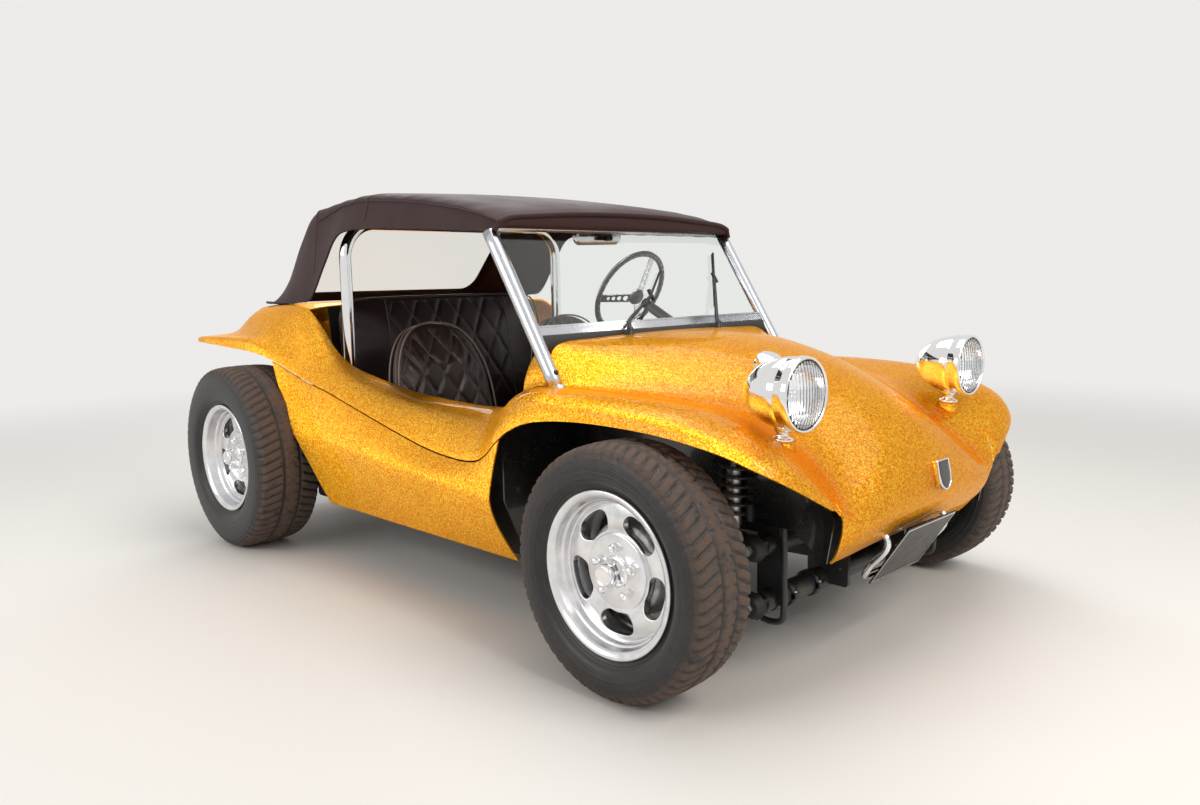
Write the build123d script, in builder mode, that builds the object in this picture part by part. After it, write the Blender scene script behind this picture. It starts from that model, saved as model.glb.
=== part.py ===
# Dune buggy: an open moulded body on a short pan chassis, with its running gear,
# steering linkage, seats, windscreen, roll hoop and soft top.
# Sizes are in millimetres. +X is forward, +Y is the car's left, +Z is up.
# The origin is on the ground, midway between the nose and the tail pipe.
import os
from math import atan2, cos, degrees, radians, sin

from build123d import *

os.makedirs("parts", exist_ok=True)

# Overall sizes
wheelbase = 2040
front_overhang = 440
rear_overhang = 600
body_tail = 550
body_width = 1500
roof_height = 1343

# Walls and clearances
wall = 6
panel_gap = 1
panel_drop = 4
running_fit = 0.05
moving_gap = 6
seat_gap = 0.3

# Where things stand along the car
length = wheelbase + front_overhang + rear_overhang
rear_axle_x = rear_overhang - length / 2
front_axle_x = rear_axle_x + wheelbase
scuttle_setback = 530
scuttle_x = front_axle_x - scuttle_setback
tail_x = rear_axle_x - body_tail
half = body_width / 2

# Wheels and tyres
rim_r = 208
bead_r = 190
barrel_r = 182
flange_thickness = 8
front_tyre_r = 317
front_tyre_width = 200
front_rim_width = 165
front_wheel_y = 745
rear_tyre_r = 352
rear_tyre_width = 246
rear_rim_width = 215
rear_wheel_y = 756
disc_thickness = 12
disc_setback = 48
slot_count = 5
slot_circle_r = 130
slot_arc = 34
slot_width = 46
hub_r = 62
hub_length = 70
axle_r = 20
drum_r = 118
drum_depth = 62

# Front suspension and steering
beam_ahead = 175
beam_tube_r = 30
beam_low_z = 190
beam_high_z = 340
kingpin_inset = 147
kingpin_y = front_wheel_y - kingpin_inset
arm_y = kingpin_y - 158
beam_half = arm_y - 40
kingpin_r = 16
kingpin_height = 200
steer_arm = 95
steer_stud_r = 7
rod_eye_r = 15
tie_rod_r = 9
tie_rod_z = 300
drop_arm_y = 325
drop_arm_ahead = 15
rod_step = 22

# Floor and tunnel
floor_z = 205
floor_thickness = 4
floor_half = 615
tunnel_half = 70
tunnel_height = 135
sill_z = 208

# Cockpit
liner_half = 612
seat_width = 410
seat_y = 325
seat_back_x = rear_axle_x + 600
seat_back_z = 850
seat_base_z = 440
column_r = 19
steering_wheel_r = 175
steering_wheel_x = front_axle_x - 950
steering_wheel_z = 940
steering_box_z = 430

# Windscreen, hoop and roof
post_r = 21
screen_top_x = front_axle_x - 725
screen_top_z = 1161
screen_foot_x = front_axle_x - 530
screen_foot_z = 852
screen_half = 565
glass_thickness = 6
hoop_r = 22
hoop_x = rear_axle_x + 400
hoop_half = 526
hoop_top_z = 1235
roof_thickness = 8


def save(part, name):
    """Name a finished piece and write it to its own file."""
    part.label = name
    export_step(part, f"parts/{name}.step")


def mirrored(part):
    """The same piece on the other side of the car's centre plane."""
    return mirror(part, about=Plane.XZ)


def upright(x):
    """Plane across the car at x, with the sketch's x along +Y and its y along +Z."""
    return Plane.YZ.offset(x)


def front_x(share):
    """Place in the front body: -1 at the scuttle, 0 over the front axle, 1 at the nose."""
    return front_axle_x + share * (front_overhang if share > 0 else scuttle_setback)


# Front body: bonnet crown, valley, wing crown, wing shoulder and lip at each station.
# Columns: place along the front, crown z, then y and z of flank, valley, wing, shoulder, lip,
# with each y as a share of half the body width.
front_stations = [
    (-1.00, 842, 0.650, 830, 0.740, 715, 0.873, 706, 0.975, 672, 0.998, 560),
    (-0.72, 850, 0.560, 800, 0.700, 714, 0.870, 714, 0.980, 690, 1.000, 600),
    (-0.42, 840, 0.470, 778, 0.660, 706, 0.853, 720, 0.980, 699, 1.000, 650),
    (0.00, 802, 0.370, 738, 0.613, 688, 0.827, 710, 0.973, 694, 1.000, 660),
    (0.30, 760, 0.340, 702, 0.600, 662, 0.800, 692, 0.960, 681, 0.989, 656),
    (0.59, 695, 0.340, 635, 0.587, 612, 0.773, 650, 0.925, 652, 0.965, 630),
]
# Wing tips, ahead of the last station, with the same columns from the valley outwards.
tip_stations = [
    (0.59, 0.587, 612, 0.773, 650, 0.925, 652, 0.965, 630),
    (0.73, 0.583, 545, 0.733, 603, 0.880, 620, 0.927, 600),
    (0.86, 0.572, 480, 0.660, 530, 0.753, 562, 0.800, 545),
    (0.91, 0.560, 460, 0.585, 472, 0.610, 478, 0.633, 462),
]
# Nose: sections on planes that fan about a cross-car line inside it.
# Columns: angle above forward, reach at the centre, then half width and reach of flank and side.
nose_pivot_back = 180
nose_pivot_z = 450
nose_stations = [
    (90, 245, 0.340, 185, 0.584, 162),
    (57, 210, 0.400, 160, 0.570, 114),
    (30, 187, 0.440, 152, 0.552, 110),
    (8, 180.7, 0.460, 151, 0.530, 126),
    (-10, 176, 0.460, 148, 0.530, 130),
    (-45, 150, 0.440, 132, 0.500, 122),
    (-65, 153, 0.420, 142, 0.480, 136),
]

with BuildPart() as front_body:
    for station in front_stations:
        place, crown_z, flank_y, flank_z, valley_y, valley_z = station[:6]
        wing_y, wing_z, edge_y, edge_z, lip_y, lip_z = station[6:]
        flank = flank_y * half
        valley = valley_y * half
        wing = wing_y * half
        edge = edge_y * half
        lip = lip_y * half
        with BuildSketch(upright(front_x(place))):
            with BuildLine():
                Line((-lip, lip_z), (-edge, edge_z))
                ThreePointArc((-edge, edge_z), (-wing, wing_z), (-valley, valley_z))
                Line((-valley, valley_z), (-flank, flank_z))
                ThreePointArc((-flank, flank_z), (0, crown_z), (flank, flank_z))
                Line((flank, flank_z), (valley, valley_z))
                ThreePointArc((valley, valley_z), (wing, wing_z), (edge, edge_z))
                Line((edge, edge_z), (lip, lip_z))
                Line((lip, lip_z), (lip - wall, lip_z))
                Line((lip - wall, lip_z), (edge - wall, edge_z - wall))
                ThreePointArc((edge - wall, edge_z - wall), (wing, wing_z - wall),
                              (valley, valley_z - wall))
                Line((valley, valley_z - wall), (flank - wall / 2, flank_z - wall))
                ThreePointArc((flank - wall / 2, flank_z - wall), (0, crown_z - wall),
                              (-flank + wall / 2, flank_z - wall))
                Line((-flank + wall / 2, flank_z - wall), (-valley, valley_z - wall))
                ThreePointArc((-valley, valley_z - wall), (-wing, wing_z - wall),
                              (-edge + wall, edge_z - wall))
                Line((-edge + wall, edge_z - wall), (-lip + wall, lip_z))
                Line((-lip + wall, lip_z), (-lip, lip_z))
            make_face()
    loft()

for side in (1, -1):
    with BuildPart() as wing_tip:
        for place, valley_y, valley_z, wing_y, wing_z, edge_y, edge_z, lip_y, lip_z in tip_stations:
            valley = side * valley_y * half
            wing = side * wing_y * half
            edge = side * edge_y * half
            lip = side * lip_y * half
            skin = side * wall
            with BuildSketch(upright(front_x(place))):
                with BuildLine():
                    ThreePointArc((valley, valley_z), (wing, wing_z), (edge, edge_z))
                    Line((edge, edge_z), (lip, lip_z))
                    Line((lip, lip_z), (lip - skin, lip_z))
                    Line((lip - skin, lip_z), (edge - skin, edge_z - wall))
                    ThreePointArc((edge - skin, edge_z - wall), (wing, wing_z - wall),
                                  (valley, valley_z - wall))
                    Line((valley, valley_z - wall), (valley, valley_z))
                make_face()
        loft()
    front_body.part = front_body.part + wing_tip.part

save(front_body.part, "front_body")

with BuildPart() as nose_panel:
    for angle, reach, flank_y, flank_reach, side_y, side_reach in nose_stations:
        along = cos(radians(angle))
        up = sin(radians(angle))
        fan_x = front_axle_x + front_overhang - nose_pivot_back + panel_gap
        fan_plane = Plane(origin=(fan_x, 0, nose_pivot_z), x_dir=(0, 1, 0), z_dir=(up, 0, -along))
        flank = flank_y * half
        edge = side_y * half
        with BuildSketch(fan_plane):
            with BuildLine():
                Line((-edge, side_reach), (-flank, flank_reach))
                ThreePointArc((-flank, flank_reach), (0, reach), (flank, flank_reach))
                Line((flank, flank_reach), (edge, side_reach))
                Line((edge, side_reach), (edge - wall, side_reach - wall))
                Line((edge - wall, side_reach - wall), (flank - wall, flank_reach - wall))
                ThreePointArc((flank - wall, flank_reach - wall), (0, reach - wall),
                              (-flank + wall, flank_reach - wall))
                Line((-flank + wall, flank_reach - wall), (-edge + wall, side_reach - wall))
                Line((-edge + wall, side_reach - wall), (-edge, side_reach))
            make_face()
    loft()
save(nose_panel.part, "nose_panel")

# Rear body: deck over the engine between two flared wings with lips over the tyres.
# Columns: place behind the rear axle's front arch, crown z, then y and z of deck edge, fall,
# shoulder and lip, with each y as a share of half the body width.
rear_stations = [
    (250, 932, 0.780, 924, 0.850, 860, 0.925, 735, 0.935, 700),
    (120, 935, 0.795, 930, 0.870, 862, 0.950, 775, 0.960, 735),
    (0, 935, 0.795, 930, 0.880, 852, 0.970, 800, 0.980, 758),
    (-150, 933, 0.775, 925, 0.870, 838, 0.975, 800, 0.985, 762),
    (-300, 920, 0.720, 908, 0.840, 815, 0.975, 800, 0.985, 768),
    (-430, 885, 0.650, 872, 0.800, 806, 0.965, 798, 0.980, 774),
    (-body_tail, 835, 0.580, 822, 0.770, 796, 0.935, 792, 0.950, 776),
]

with BuildPart() as rear_body:
    for station in rear_stations:
        place, crown_z, deck_y, deck_z, fall_y = station[:5]
        fall_z, edge_y, edge_z, lip_y, lip_z = station[5:]
        deck = deck_y * half
        fall = fall_y * half
        edge = edge_y * half
        lip = lip_y * half
        with BuildSketch(upright(rear_axle_x + place)):
            with BuildLine():
                Line((-lip, lip_z), (-edge, edge_z))
                ThreePointArc((-edge, edge_z), (-fall, fall_z), (-deck, deck_z))
                ThreePointArc((-deck, deck_z), (0, crown_z), (deck, deck_z))
                ThreePointArc((deck, deck_z), (fall, fall_z), (edge, edge_z))
                Line((edge, edge_z), (lip, lip_z))
                Line((lip, lip_z), (lip - wall, lip_z))
                Line((lip - wall, lip_z), (edge - wall, edge_z - wall))
                ThreePointArc((edge - wall, edge_z - wall), (fall - wall, fall_z - wall),
                              (deck - wall, deck_z - wall))
                ThreePointArc((deck - wall, deck_z - wall), (0, crown_z - wall),
                              (-deck + wall, deck_z - wall))
                ThreePointArc((-deck + wall, deck_z - wall), (-fall + wall, fall_z - wall),
                              (-edge + wall, edge_z - wall))
                Line((-edge + wall, edge_z - wall), (-lip + wall, lip_z))
                Line((-lip + wall, lip_z), (-lip, lip_z))
            make_face()
    loft()
    with BuildSketch(Plane.XY.offset(500)):
        with BuildLine():
            Polyline((rear_axle_x + 260, 0.80 * half), (rear_axle_x + 195, 0.78 * half),
                     (rear_axle_x + 195, -0.78 * half), (rear_axle_x + 260, -0.80 * half), close=True)
        make_face()
    extrude(amount=500, mode=Mode.SUBTRACT)
    with BuildSketch(Plane.XY.offset(500)):
        with BuildLine():
            Polyline((tail_x - 1, 0.62 * half), (tail_x + 130, 0.50 * half),
                     (tail_x + 130, -0.50 * half), (tail_x - 1, -0.62 * half), close=True)
        make_face()
    extrude(amount=500, mode=Mode.SUBTRACT)
save(rear_body.part, "rear_body")

# Body sides beside the cockpit: a rolled rim, a sloping shoulder and the seam with the side panel.
# Columns: place along the cockpit, rim y and z, middle y and z, seam y and z, bulge y and z below it.
cockpit_length = front_axle_x - scuttle_setback - rear_axle_x - 250
rim_depth = 28
rim_edge = 18
side_stations = [
    (0.00, 0.815, 905, 0.870, 830, 0.930, 700, 0.980, 510),
    (0.10, 0.815, 855, 0.870, 795, 0.933, 672, 0.985, 500),
    (0.22, 0.785, 725, 0.865, 702, 0.933, 640, 0.987, 488),
    (0.45, 0.745, 658, 0.850, 640, 0.933, 582, 0.990, 465),
    (0.70, 0.733, 632, 0.850, 605, 0.933, 520, 0.990, 425),
    (0.86, 0.733, 632, 0.850, 598, 0.940, 492, 0.990, 400),
    (0.94, 0.740, 655, 0.860, 620, 0.960, 508, 0.990, 396),
    (1.00, 0.790, 712, 0.890, 700, 0.985, 556, 0.990, 396),
]


def cockpit_x(share):
    """Place along the cockpit: 0 at the rear wing, 1 at the scuttle."""
    return rear_axle_x + 250 + panel_gap + share * (cockpit_length - 2 * panel_gap)


with BuildPart() as body_side:
    for place, rim_y, rim_z, mid_y, mid_z, seam_y, seam_z, bulge_y, bulge_z in side_stations:
        rim = rim_y * half
        middle = mid_y * half
        seam = seam_y * half
        with BuildSketch(upright(cockpit_x(place))):
            with BuildLine():
                Line((rim, rim_z - rim_depth), (rim, rim_z))
                ThreePointArc((rim, rim_z), (middle, mid_z), (seam, seam_z))
                Line((seam, seam_z), (seam - wall, seam_z))
                ThreePointArc((seam - wall, seam_z), (middle - wall, mid_z - wall),
                              (rim + wall, rim_z - rim_edge))
                Line((rim + wall, rim_z - rim_edge), (rim + wall, rim_z - rim_depth))
                Line((rim + wall, rim_z - rim_depth), (rim, rim_z - rim_depth))
            make_face()
    loft(ruled=True)
save(body_side.part, "body_side_left")
save(mirrored(body_side.part), "body_side_right")

# Side panels under the seam: widest part way down, tucked in to the sill, cut by both wheel arches.
# The table above goes on at both ends, behind the cockpit and under the front wing.
tail_station = (-0.11, 0.750, 900, 0.850, 830, 0.928, 728, 0.975, 520)
wing_station = (1.03, 0.790, 712, 0.890, 700, 0.985, 558, 0.990, 396)
with BuildPart() as side_panel:
    for station in [tail_station] + side_stations + [wing_station]:
        place = station[0]
        seam = station[5] * half
        seam_z = station[6]
        bulge = station[7] * half
        bulge_z = station[8]
        sill = 0.885 * half
        with BuildSketch(upright(cockpit_x(place))):
            with BuildLine():
                Line((seam, seam_z - panel_drop), (bulge, bulge_z))
                Line((bulge, bulge_z), (sill, sill_z))
                Line((sill, sill_z), (sill - wall, sill_z))
                Line((sill - wall, sill_z), (bulge - wall, bulge_z))
                Line((bulge - wall, bulge_z), (seam - wall, seam_z - panel_drop))
                Line((seam - wall, seam_z - panel_drop), (seam, seam_z - panel_drop))
            make_face()
    loft(ruled=True)
    with BuildSketch(Plane.XZ):
        with BuildLine():
            arch_top = (rear_axle_x + 132, 760)
            arch_seam = (rear_axle_x + 150, 700)
            arch_middle = (rear_axle_x + 332, 562)
            arch_knee = (rear_axle_x + 408, 380)
            arch_foot = (rear_axle_x + 446, sill_z - 5)
            front_foot = (front_axle_x - 515, sill_z - 5)
            front_knee = (front_axle_x - 545, 395)
            front_top = (front_axle_x - 490, 560)
            Line(arch_top, arch_seam)
            ThreePointArc(arch_seam, arch_middle, arch_knee)
            Line(arch_knee, arch_foot)
            Line(arch_foot, front_foot)
            ThreePointArc(front_foot, front_knee, front_top)
            Line(front_top, (front_axle_x - 490, 760))
            Line((front_axle_x - 490, 760), arch_top)
        make_face()
    extrude(amount=-half - 10, mode=Mode.INTERSECT)
save(side_panel.part, "side_panel_left")
save(mirrored(side_panel.part), "side_panel_right")

# Floor: a flat pan with a tunnel down the middle, its toe boards, and the spine to the front beam
floor_back_x = rear_axle_x + 270
floor_front_x = front_axle_x - 290
toe_run = 110
toe_rise = 190
spine_half = 110
spine_height = 50
with BuildPart() as floorpan:
    with BuildSketch(Plane.XY.offset(floor_z)):
        with BuildLine():
            Polyline((floor_back_x, floor_half), (front_axle_x - 520, floor_half), (floor_front_x, 430),
                     (floor_front_x, -430), (front_axle_x - 520, -floor_half), (floor_back_x, -floor_half),
                     close=True)
        make_face()
    extrude(amount=floor_thickness)

# Backbone over the pan: the tunnel, the toe board and the spine that runs out to the front beam
backbone_z = floor_z + floor_thickness + seat_gap
backbone_top_z = floor_z + tunnel_height
spine_top_z = floor_z + spine_height
with BuildPart() as backbone:
    with BuildSketch(Plane.XZ):
        with BuildLine():
            Polyline((floor_front_x, backbone_z), (floor_front_x + toe_run, floor_z + toe_rise),
                     (floor_front_x + toe_run - floor_thickness, floor_z + toe_rise),
                     (floor_front_x - floor_thickness, backbone_z), close=True)
        make_face()
    extrude(amount=425, both=True)
    with BuildSketch(Plane.YZ.offset(floor_back_x)):
        with Locations((0, (backbone_z + backbone_top_z) / 2)):
            Rectangle(2 * tunnel_half, backbone_top_z - backbone_z)
        fillet(vertices().group_by(Axis.Y)[-1], 40)
    extrude(amount=floor_front_x - floor_back_x)
    spine_end_x = front_axle_x + beam_ahead - beam_tube_r - 8
    with BuildSketch(Plane.YZ.offset(floor_front_x - 40)):
        with Locations((0, (backbone_z + spine_top_z) / 2)):
            Rectangle(2 * spine_half, spine_top_z - backbone_z)
    with BuildSketch(Plane.YZ.offset(spine_end_x)):
        with Locations((0, (backbone_z + spine_top_z) / 2)):
            Rectangle(spine_half, spine_top_z - backbone_z)
    loft()
save(Compound([floorpan.part, backbone.part]), "floorpan")

# Cockpit liner: the inner side walls and the bulkhead behind the rear seat
liner_thickness = 5
liner_base_z = floor_z + floor_thickness
with BuildPart() as cockpit_liner:
    with BuildSketch(Plane.XZ.offset(-liner_half)):
        with BuildLine():
            Polyline((rear_axle_x + 258, liner_base_z), (front_axle_x - 560, liner_base_z),
                     (front_axle_x - 560, 590), (rear_axle_x + 1200, 590), (rear_axle_x + 700, 610),
                     (rear_axle_x + 500, 660), (rear_axle_x + 300, 760), (rear_axle_x + 258, 790),
                     close=True)
        make_face()
    extrude(amount=liner_thickness)
    mirror(about=Plane.XZ)
    with BuildSketch(Plane.XZ):
        with BuildLine():
            Polyline((rear_axle_x + 258, liner_base_z), (rear_axle_x + 258, 500), (rear_axle_x + 200, 925),
                     (rear_axle_x + 206, 925), (rear_axle_x + 264, 500), (rear_axle_x + 264, liner_base_z),
                     close=True)
        make_face()
    extrude(amount=500, both=True)
    with BuildSketch(Plane.XY.offset(liner_base_z)):
        with Locations((rear_axle_x + 261, 0)):
            Rectangle(6, 2 * liner_half)
    extrude(amount=500 - liner_base_z)
save(cockpit_liner.part, "cockpit_liner")

# Front compartment: side walls between the wheels and the bonnet, closing panels of the side boxes
comp_half = 0.5733 * half
comp_back_x = front_axle_x - 505
comp_front_x = front_axle_x + 300
beam_back_x = front_axle_x + beam_ahead - 60
with BuildPart() as front_compartment:
    with BuildSketch(Plane.XZ.offset(-comp_half)):
        with BuildLine():
            Polyline((comp_back_x, liner_base_z), (floor_front_x - 30, liner_base_z),
                     (floor_front_x + 90, 395), (comp_front_x - 40, 395), (comp_front_x + 60, 330),
                     (comp_front_x + 80, 440), (comp_front_x, 560), (front_axle_x, 640),
                     (comp_back_x, 650), close=True)
        make_face()
    extrude(amount=liner_thickness)
    mirror(about=Plane.XZ)
    with BuildSketch(Plane.YZ.offset(comp_back_x)):
        with BuildLine():
            Polyline((comp_half - liner_thickness, liner_base_z), (0.87 * half, sill_z + 30),
                     (0.96 * half, 400), (0.96 * half, 560), (0.80 * half, 660),
                     (comp_half - liner_thickness, 650), close=True)
        make_face()
    extrude(amount=liner_thickness)
    with BuildSketch(Plane.YZ.offset(comp_back_x)):
        with BuildLine():
            Polyline((-comp_half + liner_thickness, liner_base_z), (-0.87 * half, sill_z + 30),
                     (-0.96 * half, 400), (-0.96 * half, 560), (-0.80 * half, 660),
                     (-comp_half + liner_thickness, 650), close=True)
        make_face()
    extrude(amount=liner_thickness)
    with BuildSketch(Plane.XY.offset(395)):
        with BuildLine():
            Polyline((floor_front_x + 115, comp_half), (beam_back_x, comp_half),
                     (beam_back_x, -comp_half), (floor_front_x + 115, -comp_half), close=True)
        make_face()
        with Locations((front_axle_x + drop_arm_ahead, drop_arm_y)):
            Rectangle(90, 80, mode=Mode.SUBTRACT)
    extrude(amount=liner_thickness)
save(front_compartment.part, "front_compartment")

# Front beam: two torsion tubes held by four uprights, with damper towers at the ends.
# The inner uprights reach forward and are drilled for a bumper's brackets.
upright_thickness = 12
bracket_y = 150
bracket_reach = 50
bracket_hole_x = 66
bracket_pitch = 80
bracket_hole_r = 5.5
with BuildPart() as front_beam:
    beam_x = front_axle_x + beam_ahead
    for tube_z in (beam_low_z, beam_high_z):
        with BuildSketch(Plane.XZ.offset(-beam_half)):
            with Locations((beam_x, tube_z)):
                Circle(beam_tube_r)
        extrude(amount=2 * beam_half)
    for plate_y in (-beam_half + upright_thickness, beam_half):
        with BuildSketch(Plane.XZ.offset(-plate_y)):
            with Locations((beam_x, (beam_low_z + beam_high_z) / 2 + 5)):
                Rectangle(76, beam_high_z - beam_low_z + 30)
        extrude(amount=upright_thickness)
    for plate_y in (-bracket_y, bracket_y + upright_thickness):
        with BuildSketch(Plane.XZ.offset(-plate_y)):
            with Locations((beam_x + bracket_reach / 2, (beam_low_z + beam_high_z) / 2 + 5)):
                RectangleRounded(76 + bracket_reach, beam_high_z - beam_low_z + 30, 10)
            with Locations((beam_x + bracket_hole_x, (beam_low_z + beam_high_z) / 2)):
                with GridLocations(0, bracket_pitch, 1, 2):
                    Circle(bracket_hole_r, mode=Mode.SUBTRACT)
        extrude(amount=upright_thickness)
    for tower_y in (-beam_half + upright_thickness, beam_half):
        with BuildSketch(Plane.XZ.offset(-tower_y)):
            with BuildLine():
                Polyline((beam_x - 34, beam_high_z), (beam_x + 34, beam_high_z), (beam_x + 12, 560),
                         (beam_x - 30, 560), close=True)
            make_face()
        extrude(amount=upright_thickness)
save(front_beam.part, "front_beam")

# Trailing arms: one pair a side from the beam's ends back to the kingpin carrier
arm_thickness = 30
arm_boss_r = 27
arm_rise = 38
with BuildPart() as trailing_arms:
    for tube_z in (beam_low_z, beam_high_z):
        rear_z = tube_z + arm_rise
        with BuildSketch(Plane.XZ.offset(-arm_y)):
            with BuildLine():
                Polyline((beam_x + 24, tube_z - 18), (beam_x + 24, tube_z + 18), (beam_x - 20, tube_z + 24),
                         (front_axle_x + 2, rear_z + 14), (front_axle_x - 20, rear_z + 12),
                         (front_axle_x - 20, rear_z - 14), (front_axle_x + 6, rear_z - 16),
                         (beam_x - 20, tube_z - 22), close=True)
            make_face()
        extrude(amount=-arm_thickness)
        with BuildSketch(Plane.XZ.offset(-beam_half - seat_gap)):
            with Locations((beam_x, tube_z)):
                Circle(arm_boss_r)
        extrude(amount=-(arm_y - beam_half))
    mirror(about=Plane.XZ)

# Kingpin carriers join each side's two arms and hold the kingpin's ends
carrier_thickness = 18
carrier_y = arm_y + arm_thickness + seat_gap
lug_height = 22
with BuildPart() as carriers:
    with BuildSketch(Plane.XZ.offset(-carrier_y)):
        with Locations((front_axle_x, front_tyre_r - 12)):
            RectangleRounded(34, 230, 14)
    extrude(amount=-carrier_thickness)
    for lug_z in (front_tyre_r - kingpin_height / 2, front_tyre_r + kingpin_height / 2 - lug_height):
        with BuildSketch(Plane.XY.offset(lug_z)):
            with BuildLine():
                Polyline((front_axle_x - 15, carrier_y + 4), (front_axle_x + 15, carrier_y + 4),
                         (front_axle_x + 17, kingpin_y), (front_axle_x - 17, kingpin_y), close=True)
            make_face()
            with Locations((front_axle_x, kingpin_y)):
                Circle(kingpin_r + 8)
                Circle(kingpin_r + running_fit, mode=Mode.SUBTRACT)
        extrude(amount=lug_height)
    mirror(about=Plane.XZ)
save(Compound([trailing_arms.part, carriers.part]), "trailing_arms")

# Dampers: four plain telescopic units standing beside the arms and the rear axle
damper_r = 20
damper_rod_r = 8
front_damper_y = beam_half + 56
rear_damper_y = 500
damper_stations = [
    (beam_x - 72, beam_high_z + 46, front_damper_y, 150, 60),
    (rear_axle_x - 75, 330, rear_damper_y, 210, 150),
]
with BuildPart() as dampers:
    for damper_x, base_z, damper_y, body_length, rod_length in damper_stations:
        with Locations((damper_x, damper_y, base_z)):
            Cylinder(damper_r, body_length, align=(Align.CENTER, Align.CENTER, Align.MIN))
        with Locations((damper_x, damper_y, base_z + body_length)):
            Cylinder(damper_rod_r, rod_length, align=(Align.CENTER, Align.CENTER, Align.MIN))
    mirror(about=Plane.XZ)
save(dampers.part, "dampers")

# Steering knuckles: a barrel that turns on the kingpin, the stub axle, the steering arm and back plate
knuckle_barrel_r = 24
back_plate_r = 112
back_plate_y = kingpin_y + 42
back_plate_thickness = 5
stub_end_y = front_wheel_y + 30
knuckle_gap = 1
with BuildPart() as knuckle:
    barrel_base_z = front_tyre_r - kingpin_height / 2 + lug_height + knuckle_gap
    barrel_height = kingpin_height - 2 * lug_height - 2 * knuckle_gap
    with Locations((front_axle_x, kingpin_y, barrel_base_z)):
        Cylinder(knuckle_barrel_r, barrel_height, align=(Align.CENTER, Align.CENTER, Align.MIN))
    with Locations((front_axle_x, kingpin_y, front_tyre_r - kingpin_height / 2)):
        Cylinder(kingpin_r, kingpin_height, align=(Align.CENTER, Align.CENTER, Align.MIN))
    with BuildSketch(Plane.XZ.offset(-kingpin_y)):
        with Locations((front_axle_x, front_tyre_r)):
            Circle(axle_r)
    extrude(amount=-(stub_end_y - kingpin_y))
    with BuildSketch(Plane.XZ.offset(-back_plate_y)):
        with Locations((front_axle_x, front_tyre_r)):
            Circle(back_plate_r)
    extrude(amount=-back_plate_thickness)
    with BuildSketch(Plane.XY.offset(tie_rod_z + 12)):
        with BuildLine():
            Polyline((front_axle_x, kingpin_y + 12), (front_axle_x + steer_arm, kingpin_y + 10),
                     (front_axle_x + steer_arm, kingpin_y - 10), (front_axle_x, kingpin_y - 14), close=True)
        make_face()
        with Locations((front_axle_x + steer_arm, kingpin_y)):
            Circle(14)
    extrude(amount=14)
    with Locations((front_axle_x + steer_arm, kingpin_y, tie_rod_z - rod_step - 12)):
        Cylinder(steer_stud_r, rod_step + 26, align=(Align.CENTER, Align.CENTER, Align.MIN))
save(knuckle.part, "knuckle_left")
save(mirrored(knuckle.part), "knuckle_right")

# Drop arm: turns under the steering box; both tie rods' inner eyes hang on its one stud
drop_arm_x = front_axle_x + drop_arm_ahead
drop_arm_plate_z = tie_rod_z + 12
drop_arm_thickness = 12
sector_r = 13
with BuildPart() as drop_arm:
    with BuildSketch(Plane.XY.offset(drop_arm_plate_z)):
        with BuildLine():
            Polyline((drop_arm_x, drop_arm_y - 20), (drop_arm_x + steer_arm, drop_arm_y - 14),
                     (drop_arm_x + steer_arm, drop_arm_y + 14), (drop_arm_x, drop_arm_y + 20), close=True)
        make_face()
        with Locations((drop_arm_x, drop_arm_y)):
            Circle(21)
        with Locations((drop_arm_x + steer_arm, drop_arm_y)):
            Circle(14.5)
    extrude(amount=drop_arm_thickness)
    with Locations((drop_arm_x + steer_arm, drop_arm_y, tie_rod_z - rod_step - 12)):
        Cylinder(steer_stud_r, rod_step + 26, align=(Align.CENTER, Align.CENTER, Align.MIN))
    with Locations((drop_arm_x, drop_arm_y, drop_arm_plate_z)):
        Cylinder(sector_r, 70, align=(Align.CENTER, Align.CENTER, Align.MIN))
save(drop_arm.part, "drop_arm")

# Tie rods: a tube with an eye round a stud at each end, with play at the inner, open pivot
open_pivot_play = 0.6
rod_eye_height = 18
rod_ends = [
    ("tie_rod_left", kingpin_y, tie_rod_z),
    ("tie_rod_right", -kingpin_y, tie_rod_z - rod_step),
]
for name, outer_y, rod_z in rod_ends:
    with BuildPart() as tie_rod:
        outer = Vector(front_axle_x + steer_arm, outer_y, rod_z)
        inner = Vector(drop_arm_x + steer_arm, drop_arm_y, rod_z)
        rod_way = (inner - outer).normalized()
        with BuildSketch(Plane(origin=outer + rod_way * steer_stud_r, z_dir=rod_way)):
            Circle(tie_rod_r - 2)
        extrude(amount=(inner - outer).length - 2 * steer_stud_r)
        with BuildSketch(Plane(origin=outer + rod_way * 40, z_dir=rod_way)):
            Circle(tie_rod_r)
        extrude(amount=(inner - outer).length - 80)
        with BuildSketch(Plane.XY.offset(rod_z - rod_eye_height / 2)):
            with Locations((outer.X, outer.Y), (inner.X, inner.Y)):
                Circle(rod_eye_r)
        extrude(amount=rod_eye_height)
        with BuildSketch(Plane.XY.offset(rod_z - rod_eye_height / 2)):
            with Locations((outer.X, outer.Y)):
                Circle(steer_stud_r + running_fit)
            with Locations((inner.X, inner.Y)):
                Circle(steer_stud_r + open_pivot_play)
        extrude(amount=rod_eye_height, mode=Mode.SUBTRACT)
    save(tie_rod.part, name)

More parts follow.
